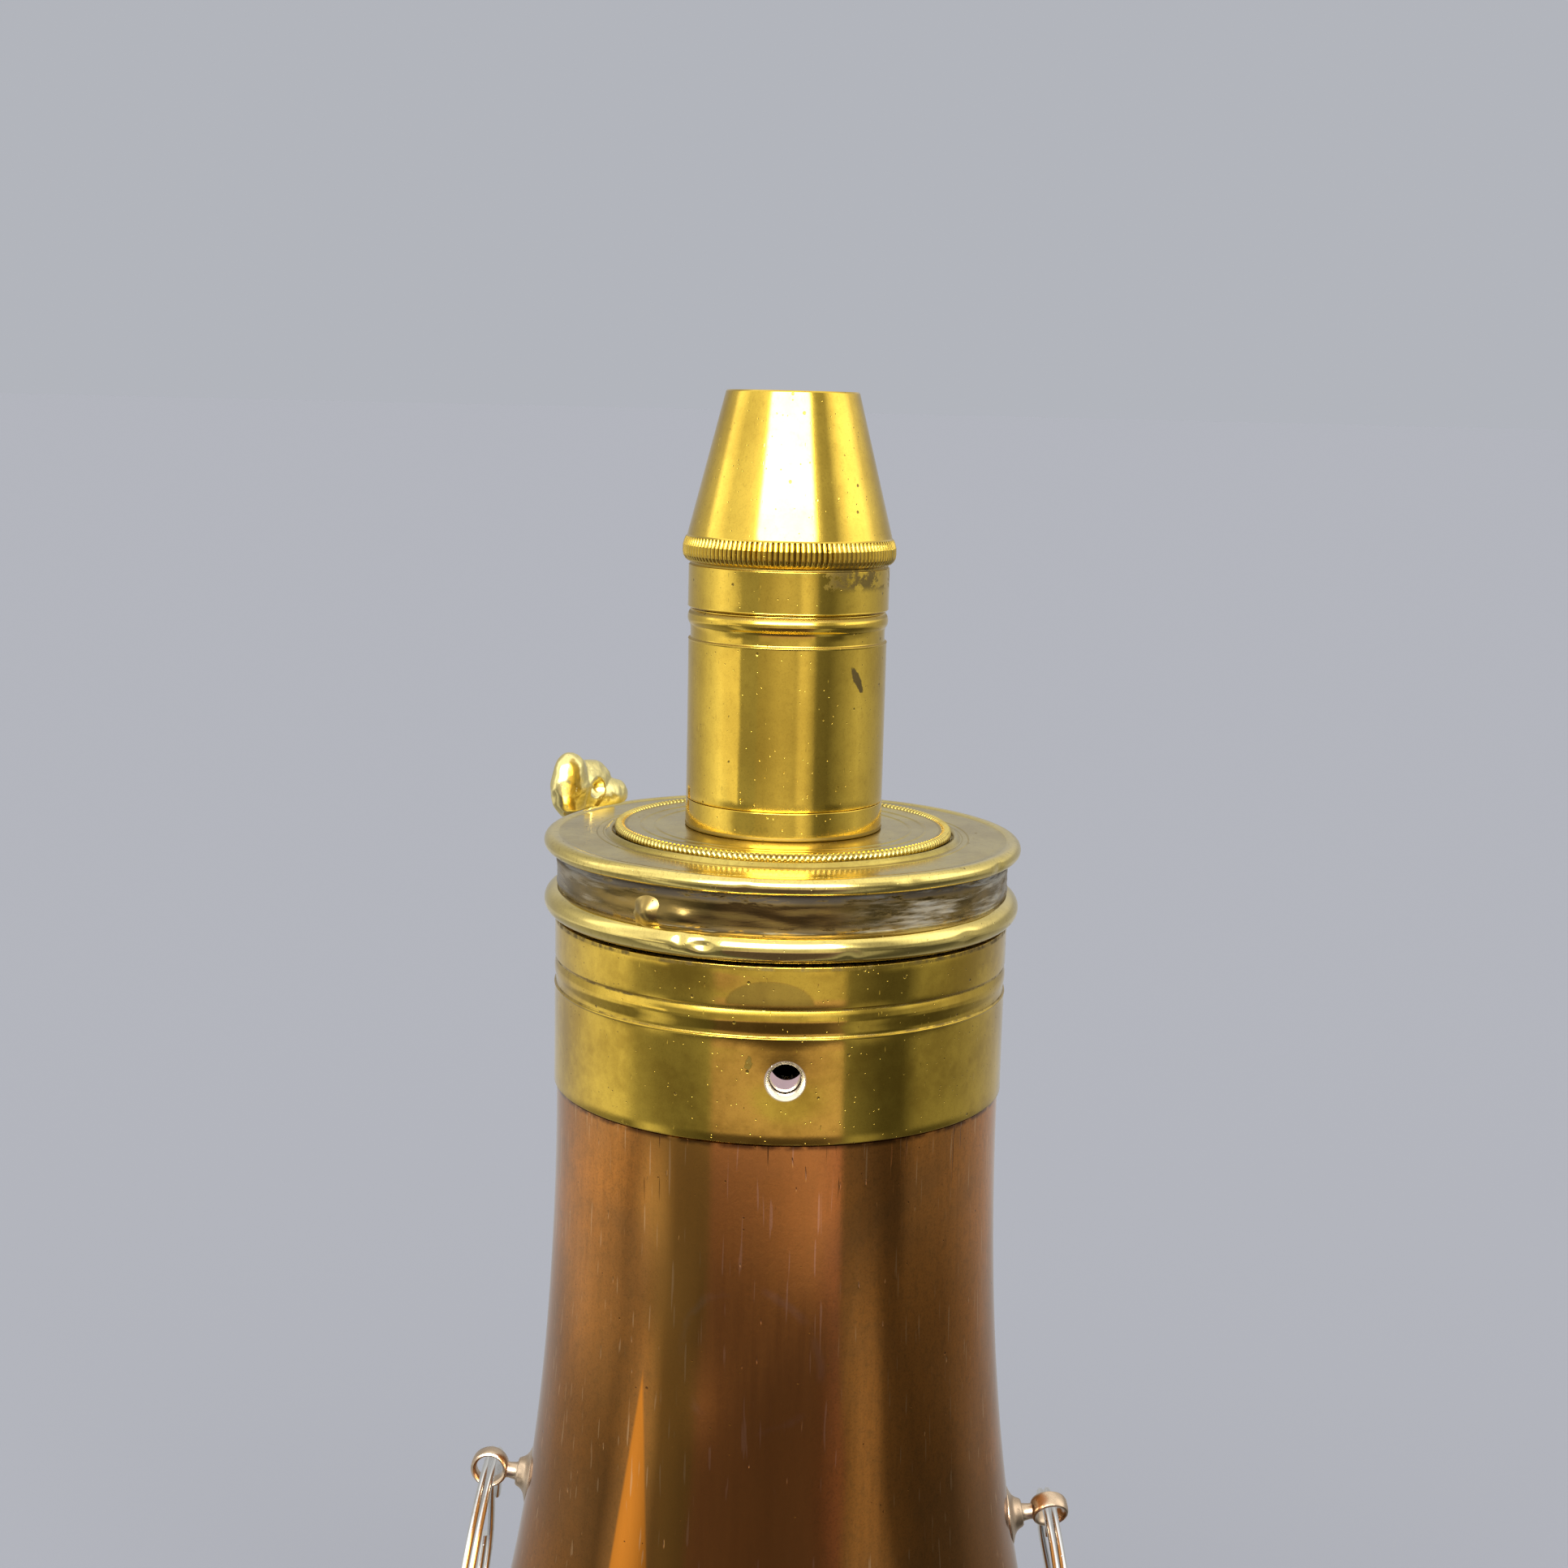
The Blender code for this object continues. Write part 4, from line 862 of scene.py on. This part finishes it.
def ellipsoid(name, half_sizes, centre, azimuth, fineness=48):
    """half_sizes are radial, tangential and upright at an azimuth."""
    shape = bmesh.new()
    bmesh.ops.create_uvsphere(shape, u_segments=fineness, v_segments=fineness // 2, radius=1.0)
    return new_object(name, posed(shape, half_sizes, math.radians(azimuth), centre), None)


def make_thumbpiece(material):
    """A small cast shell: a full lobe over the rim, a saddle behind it and a foot on the arm's end."""
    lean = ARM_AZIMUTH + 9
    lobe = ellipsoid("thumbpiece_cast", (1.5, 2.15, 3.0), polar(20.4, ARM_AZIMUTH + 15, HEAD + 23.55), lean)
    saddle = ellipsoid("saddle", (1.4, 3.7, 2.3), polar(20.2, lean, HEAD + 23.3), lean)
    heel = ellipsoid("heel", (1.5, 3.0, 1.6), polar(20.0, ARM_AZIMUTH + 2, HEAD + 22.1), ARM_AZIMUTH + 2)
    hollow = ellipsoid("hollow", (1.6, 1.2, 1.0), polar(18.1, ARM_AZIMUTH + 8.5, HEAD + 23.2), lean)
    combine(lobe, "UNION", saddle, heel)
    combine(lobe, "DIFFERENCE", hollow)
    blend = lobe.modifiers.new("cast", "REMESH")
    blend.mode = "VOXEL"
    blend.voxel_size = 0.09 * MM
    blend.use_smooth_shade = True
    soften = lobe.modifiers.new("soften", "SMOOTH")
    soften.factor = 0.5
    soften.iterations = 26
    bake(lobe)
    over_plate = (HEAD + 21.45) * MM
    beside_plate = (HEAD + 20.6) * MM
    plate_edge = 20.3 * MM
    for v in lobe.data.vertices:
        spot = v.co / MM
        lump = noise.noise(spot * 0.75) * 0.14 + noise.noise(spot * 1.9 + Vector((5, 0, 0))) * 0.03
        v.co += v.normal * lump * MM
        v.co.z = max(v.co.z, over_plate if v.co.xy.length < plate_edge else beside_plate)
    lobe.data.shade_smooth()
    lobe.data.materials.clear()
    lobe.data.materials.append(material)
    lobe.visible_glossy = False
    dress(lobe, "cutoff", "bright_brass", "thumbpiece")


def bevelled(node, material, slot, body, width):
    """A copy of a plain CAD part with its edges rounded, in a new material."""
    mesh = frame["nodes"][node].data.copy()
    mesh.materials.clear()
    mesh.materials.append(material)
    made = linked(node + "_eased", mesh)
    shape = bmesh.new()
    shape.from_mesh(mesh)
    bmesh.ops.remove_doubles(shape, verts=shape.verts, dist=2e-6)
    bmesh.ops.dissolve_limit(shape, angle_limit=math.radians(2), verts=shape.verts, edges=shape.edges)
    shape.to_mesh(mesh)
    shape.free()
    ease = made.modifiers.new("ease", "BEVEL")
    ease.width = width * MM
    ease.segments = 3
    ease.limit_method = "ANGLE"
    ease.angle_limit = math.radians(40)
    bake(made)
    made.data.shade_smooth()
    made.data.set_sharp_from_angle(angle=math.radians(35))
    return dress(made, body, slot, node)


# ---------------------------------------------------------------- copper body


def curve(a, b, c, d, t):
    """A cubic Bezier curve's value at t."""
    s = 1 - t
    return a * s ** 3 + 3 * b * s * s * t + 3 * c * s * t * t + d * t ** 3


def body_rows():
    """(z, half width, half depth) up the outside: the rolled lower edge, the flanks, and the neck."""
    low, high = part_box("body_front_shell")
    wide, deep = high.x / MM, -low.y / MM
    roll = 28.0  # height of the rolled lower part
    foot_wide, foot_deep = 28.8, 15.0
    steps, first = 26, 0.16
    rows = []
    for i in range(steps):
        angle = first + (math.pi / 2 - first) * i / steps
        rise = math.sin(angle)
        level = roll * (1 - math.cos(angle))
        rows.append((level, foot_wide + (wide - foot_wide) * rise, foot_deep + (deep - foot_deep) * rise))
    side, shoulder, flank_steps = 18.87, HEAD - 0.15, 70
    for i in range(flank_steps + 1):
        t = i / flank_steps
        level = curve(roll, 64, 70, shoulder, t)
        rows.append((level, curve(wide, wide, 18.3, side, t), curve(deep, deep, 18.5, side, t)))
    rows.append((shoulder + 0.1, side - 0.1, side - 0.1))
    rows.append((shoulder + 0.15, 17.95, 17.95))
    rows += [(HEAD + 0.6 + 1.42 * i, 17.9, 17.9) for i in range(9)]
    return rows


def flank(angle, z):
    """Dents and waves that years of carrying have left in the thin sheet."""
    fade = min(1.0, max(0.0, (HEAD - 1.5 - z) / 12.0))
    push = 0.45 * noise.noise(Vector((math.cos(angle) * 1.1, math.sin(angle) * 1.1, z * 0.022)))
    push += 0.10 * noise.noise(Vector((math.cos(angle) * 3.5, math.sin(angle) * 3.5, z * 0.09 + 9)))
    push -= dent(angle, z, 300, 62, 16, 11, 0.5) + dent(angle, z, 62, 74, 14, 13, 0.6)
    push -= dent(angle, z, 205, 40, 12, 9, 0.4)
    return push * fade * min(1.0, z / 12.0) * min(1.0, 2.2 * abs(math.sin(angle)))


def make_shell(name, node, material, facing, columns=150):
    """Half the body between its side seams, with the sheet's real thickness."""
    wall, seam, seam_groove = 0.8, 0.06, 0.12
    shape = bmesh.new()
    outside, inside = [], []
    for z, width, depth in body_rows():
        outer, inner = [], []
        for i in range(columns + 1):
            angle = math.pi * i / columns
            push = flank(facing * angle, z)
            thin = seam_groove if i in (0, columns) else 0.0
            for row, less in ((outer, thin), (inner, wall)):
                x = (width + push - less) * math.cos(angle)
                y = seam + (depth + push - less - seam) * math.sin(angle)
                row.append(shape.verts.new((x, facing * y, z)))
        outside.append(outer)
        inside.append(inner)
    for skin in (outside, inside):
        for low, high in zip(skin, skin[1:]):
            bridge(shape, low, high, False)
    for end in (0, -1):
        bridge(shape, outside[end], inside[end], False)
        bridge(shape, [row[end] for row in outside], [row[end] for row in inside], False)
    made = new_object(name, shape, material, 40.0)
    if facing < 0:
        cut(made, drill(EMPTY_HOLE + 0.4, HEAD + SCREW_LEVEL + 1.15, 1.3, 0.12, 17.9, 3.0))
    dress(made, "flask", "copper", node)


def make_base(material):
    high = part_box("base_plate")[1]
    wide, deep, thick = high.x / MM, high.y / MM, high.z / MM
    profile = [(0.0, thick), (0.90, thick), (0.975, thick - 0.1), (1.0, thick * 0.6), (0.995, 0.12)]
    profile += [(0.975, 0.0), (0.90, 0.0), (0.86, 0.10), (0.0, 0.14)]
    made = turned("base_plate_pressed", profile, material, 160, closed=False, base=0.0)
    made.data.transform(Matrix.Diagonal((wide, deep, 1.0, 1.0)))
    dress(made, "flask", "copper", "base_plate")


# ---------------------------------------------------------------- lugs and rings


def seat(word):
    """The lug's seat on the copper and the direction that its swivel points."""
    joint = JOINTS[word + "_eye_swivel"]
    return Vector(joint["pos_m"]) / MM, Vector(joint["axis"]).normalized()


def eye_centre(word):
    return Vector(JOINTS[word + "_ring_swing"]["pos_m"]) / MM


def make_lug(word, material):
    """A leaf-shaped base that hugs the flank, rising to a round boss."""
    centre, out = seat(word)
    profile = [(0.85, 1.12), (1.08, 1.15), (1.22, 1.02), (1.36, 0.72), (1.55, 0.46), (1.8, 0.28), (2.1, 0.15)]
    profile += [(2.38, 0.04), (2.42, -0.06), (2.36, -0.12), (1.5, -0.25), (0.85, 0.5)]
    made = turned(word + "_lug_leaf", split(fillet(profile, 0.1), 0.3), material, 96, base=0.0)
    for v in made.data.vertices:
        away = math.hypot(v.co.x, v.co.y) / MM
        point = 1.0 + 0.16 * max(0.0, away - 1.5) * (abs(v.co.y) / MM / max(away, 0.01)) ** 4
        v.co.y *= point
        v.co.z -= 0.024 * max(0.0, abs(v.co.x) / MM - 0.8) ** 2 * MM
    across = Vector((0, 0, 1)).cross(out).normalized()
    turn = Matrix((across, out.cross(across), out)).transposed().to_4x4()
    sunk = 0.32
    made.data.transform(Matrix.Translation((centre - out * sunk) * MM) @ turn)
    dress(made, "flask", "copper", word + "_lug")


def make_eye(side, word, material):
    """A flat-sided eye on a tapered stem that swivels in the lug."""
    centre, out = seat(word)
    middle = eye_centre(word)
    reach = (middle - centre).length
    turn_angle = 30.0 if side > 0 else 0.0
    section = [(1.20, 0.55), (1.28, 0.72), (1.42, 0.80), (1.56, 0.72), (1.64, 0.5), (1.655, 0.0)]
    section += [(r, -w) for r, w in section[-2::-1]] + [(1.17, -0.3), (1.165, 0.0), (1.17, 0.3)]
    shape = bmesh.new()
    rows = []
    around = 72
    for i in range(around):
        angle = 2 * math.pi * i / around
        swell = 1.0 + 0.10 * math.cos(angle + math.pi)
        away, up = math.cos(angle), math.sin(angle)
        rows.append([shape.verts.new((r * away, w * swell, r * up)) for r, w in section])
    for i in range(around):
        bridge(shape, rows[i], rows[(i + 1) % around])
    band = new_object(word + "_eye_turned", shape, material)
    stem = [(0.0, -1.25), (0.78, -1.3), (0.7, -1.55), (0.68, -1.8)]
    stem += moved([(0.76, 0.95), (1.06, 0.45), (1.08, 0.14), (0.0, 0.14)], dz=-reach)
    shank = turned("stem", split(stem, 0.3, False), material, 40, closed=False, base=0.0)
    shank.data.transform(Matrix.Rotation(math.radians(90), 4, "Y"))
    combine(band, "UNION", shank)
    across = Vector((0, side, 0))
    facing = Matrix((out, across, out.cross(across))).transposed()
    facing = facing @ Matrix.Rotation(math.radians(turn_angle), 3, "X")
    band.data.transform(Matrix.Translation(middle * MM) @ facing.to_4x4())
    band.data.set_sharp_from_angle(angle=math.radians(40))
    band.visible_glossy = False
    dress(band, word + "_eye", "copper", word + "_swivel_eye")


def make_ring(word, material):
    """A split ring: one wire wound almost twice round, its two turns lying side by side."""
    low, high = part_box(word + "_split_ring")
    centre = (low + high) / 2 / MM
    radius = (high.y - low.y) / 2 / MM - 0.75  # of the wire's middle
    middle = eye_centre(word)
    down = (centre - middle).normalized()
    normal = Vector((0, 1, 0)).cross(down).normalized()
    apart, turns, count, sides = 0.31, 1.94, 400, 16
    tall, wide, gap_angle, crossing = 0.60, 0.32, 1.9, 0.28
    along = Vector((0, 1, 0))
    shape = bmesh.new()
    rows = []
    for i in range(count + 1):
        t = 2 * math.pi * turns * i / count
        offset = apart * math.tanh((t - math.pi * turns) / crossing)
        outward = down * math.cos(t + gap_angle) + along * math.sin(t + gap_angle)
        spot = centre + outward * radius + normal * offset
        row = []
        for j in range(sides):
            tilt = 2 * math.pi * j / sides
            thick = outward * tall * math.cos(tilt) + normal * wide * math.sin(tilt)
            row.append(shape.verts.new(spot + thick))
        rows.append(row)
    for row, other in zip(rows, rows[1:]):
        bridge(shape, row, other)
    shape.faces.new(rows[0])
    shape.faces.new(rows[-1])
    made = new_object(word + "_ring_wound", shape, material, 50.0)
    made.visible_glossy = False
    dress(made, word + "_ring", "steel", word + "_split_ring")


# ---------------------------------------------------------------- stage


def make_floor():
    shape = bmesh.new()
    bmesh.ops.create_circle(shape, cap_ends=True, segments=96, radius=60000.0)
    material = bpy.data.materials.new("floor_paint")
    material.use_nodes = True
    shader = material.node_tree.nodes["Principled BSDF"]
    shader.inputs["Base Color"].default_value = (0.11, 0.112, 0.122, 1.0)
    shader.inputs["Roughness"].default_value = 1.0
    shader.inputs["Specular IOR Level"].default_value = 0.0
    shader.inputs["Emission Color"].default_value = (*BACKGROUND, 1.0)
    shader.inputs["Emission Strength"].default_value = 0.4
    floor = new_object("floor", shape, material)
    floor.location.z = -0.02 * MM
    floor.visible_glossy = False


# Brightness against degrees to the right of the front, from the floor's strip to the highest.
STRIPS = (
    [
        (-180, 0.45), (-124, 0.42), (-92, 0.3), (-80, 0.22), (-75, 0.5), (-67, 0.85), (-60, 0.6), (-52, 0.2),
        (-36, 0.12), (0, 0.09), (24, 0.11), (34, 0.24), (42, 0.42), (51, 0.38), (60, 0.13), (76, 0.09),
        (98, 0.12), (116, 0.25), (138, 0.38), (180, 0.45),
    ],
    [
        (-180, 0.5), (-140, 0.58), (-104, 0.98), (-84, 0.95), (-75, 0.45), (-62, 0.28), (-44, 0.28),
        (-35, 0.36), (-31, 0.56), (-16, 0.60), (20, 0.68), (32, 0.66), (35, 0.25), (44, 0.17), (54, 0.10),
        (66, 0.10), (76, 0.32), (100, 0.34), (124, 0.43), (150, 0.52), (180, 0.5),
    ],
    [
        (-180, 0.45), (-140, 0.45), (-116, 0.6), (-96, 1.0), (-80, 1.45), (-68, 1.1), (-58, 0.45),
        (-36, 0.42), (-22, 0.5), (-6, 0.72), (6, 0.70), (12, 0.62), (17, 1.0), (23, 0.95), (32, 0.5),
        (36, 0.2), (50, 0.17), (64, 0.34), (92, 0.66), (112, 0.5), (135, 0.42), (180, 0.45),
    ],
    [
        (-180, 0.6), (-135, 0.5), (-112, 0.8), (-103, 2.0), (-93, 1.7), (-80, 1.1), (-58, 1.3), (-42, 1.8),
        (34, 1.2), (42, 0.55), (56, 0.5), (66, 1.3), (80, 2.2), (100, 2.2), (114, 1.1), (135, 0.8),
        (180, 0.6),
    ],
)


def make_world():
    """Soft light from all round: plain grey to look at, and broad strips of light and shade in the metal."""
    world = bpy.data.worlds.new("studio")
    bpy.context.scene.world = world
    world.use_nodes = True
    world.node_tree.nodes.clear()
    g = Graph(world.node_tree)
    split_way = g.node("ShaderNodeSeparateXYZ", {0: g.node("ShaderNodeTexCoord").outputs["Generated"]})
    x, y, z = split_way.outputs
    turn = g.math("ARCTAN2", x, g.times(y, -1.0))
    share = g.plus(g.math("DIVIDE", turn, 2 * math.pi), 0.5)
    degrees = g.times(turn, 180 / math.pi)
    height = g.times(g.math("ARCSINE", z), 180 / math.pi)

    brightest = 2.5
    floor, low, level, high = (g.strip(share, points, brightest) for points in STRIPS)
    around = g.mix(g.ramp(height, -21.0, -17.5), floor, low)
    around = g.mix(g.ramp(height, -13.0, -9.5), around, level)
    around = g.mix(g.ramp(height, 3.0, 16.0), around, high)
    around = g.mix(g.ramp(height, 35.0, 60.0), around, (0.55, 0.55, 0.55))
    front = g.band(degrees, -33.0, 34.0, 2.0)
    for start, end, tint in ((-2.0, 2.0, (1.04, 0.98, 0.90)), (-16.2, -15.2, (1.10, 0.90, 1.25))):
        tinted = g.vector_math("MULTIPLY", around, tint)
        around = g.mix(g.times(front, g.fall(height, start, end)), around, tinted)
    lean = g.times(g.plus(height, 12.5), -5.2)
    wedge = g.ramp(g.minus(degrees, g.plus(lean, -56.0)), -0.8, 0.8)
    wedge = g.times(wedge, g.fall(degrees, -56.5, -54.5), g.band(height, -12.3, -5.0, 0.6))
    around = g.mix(wedge, around, (0.50, 0.48, 0.44))
    bright = g.vector_math("MULTIPLY", around, (brightest,) * 3)
    window = g.times(g.band(degrees, -39.0, 31.0, 3.0), g.band(height, 17.0, 46.0, 3.0))
    lamp = g.vector(*(g.times(window, strength) for strength in (15.0, 15.0, 15.5)))
    total = g.vector_math("ADD", bright, lamp)
    seen = g.node("ShaderNodeBackground", {"Color": (*BACKGROUND, 1.0), "Strength": 1.0}).outputs[0]
    lit = g.node("ShaderNodeBackground", {"Color": total, "Strength": 1.0}).outputs[0]
    direct = g.node("ShaderNodeLightPath").outputs["Is Camera Ray"]
    mixed = g.node("ShaderNodeMixShader", {0: direct, 1: lit, 2: seen}).outputs[0]
    g.node("ShaderNodeOutputWorld", {"Surface": mixed})


def make_camera():
    """Level with the nozzle's root and a little above it, close in front."""
    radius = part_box("collar")[1].x
    data = bpy.data.cameras.new("camera")
    data.lens = 53.0
    data.sensor_width = 36.0
    data.clip_start = 0.01
    camera = linked("camera", data)
    away, above, down, roll = 10.055 * radius, 2.989 * radius, 9.354, 1.35
    tilt = Matrix.Rotation(math.radians(90 - down), 4, "X") @ Matrix.Rotation(math.radians(roll), 4, "Z")
    camera.matrix_world = Matrix.Translation((0.0, -away, HEAD * MM + above)) @ tilt
    bpy.context.scene.camera = camera


# ---------------------------------------------------------------- assembly


def main():
    barrel = brass("barrel_brass", 0.24, 0.11, barrel_grime)
    plate = brass("plate_brass", 0.35, 0.18, plate_grime, 1.6, PLATE_BRASS, (RIM_START, RIM_BRASS))
    rims = brass("rim_brass", 0.18, 0.12, colour=RIM_BRASS)
    collar = brass("collar_brass", 0.42, 0.09, collar_grime, 0.6, painted_glint=hole_rim_glint)
    cast = brass("cast_brass", 0.05, 0.26, marks=0.6, colour=CAST_BRASS)
    hidden = brass("inner_brass", 0.9, 0.3)
    pale = brass("pale_copper", 0.25, 0.28, marks=0.6, colour=PALE_COPPER)
    dull = brass("pin_brass", 0.7, 0.22, marks=1.6, colour=PIN_BRASS)
    copper = copper_material()
    plated = steel("plated_steel")
    iron = steel("plain_steel", PLAIN_STEEL, 0.28)

    make_shell("copper_front", "body_front_shell", copper, -1)
    make_shell("copper_back", "body_back_shell", copper, 1)
    make_base(copper)
    make_collar(collar)
    make_collar_screws(rims)
    make_lower_plate(rims)
    make_waist(waist_material())
    make_top_plate(plate)
    make_milled_disc(plate)
    make_nozzle_foot(barrel)
    make_nozzle_barrel(barrel)
    make_nozzle_cone(barrel)
    make_measuring_tube(hidden)
    domed_pin("stop_pin_domed", STOP_AZIMUTH, 17.75, 1.75, 0.72, 0.4, 13.0, dull, "stop_pin")
    domed_pin("spring_rivet_domed", SPRING_AZIMUTH, 17.4, 0.65, 0.4, 0.42, 1.8, rims, "spring_rivet")
    make_thumbpiece(cast)
    bevelled("cutoff_gate", hidden, "aged_brass", "cutoff", 0.12)
    bevelled("lever_arm", rims, "aged_brass", "cutoff", 0.2)
    for node in ("lever_rivet_1", "lever_rivet_2"):
        bevelled(node, iron, "steel", "cutoff", 0.08)
    for node in ("guide_pin", "pivot_screw", "return_spring"):
        bevelled(node, iron, "steel", "flask", 0.04)
    for side, word in SIDES:
        make_lug(word, pale)
        make_eye(side, word, pale)
        make_ring(word, plated)
    make_floor()
    make_world()
    make_camera()
    bpy.context.scene.view_settings.view_transform = "Standard"


main()
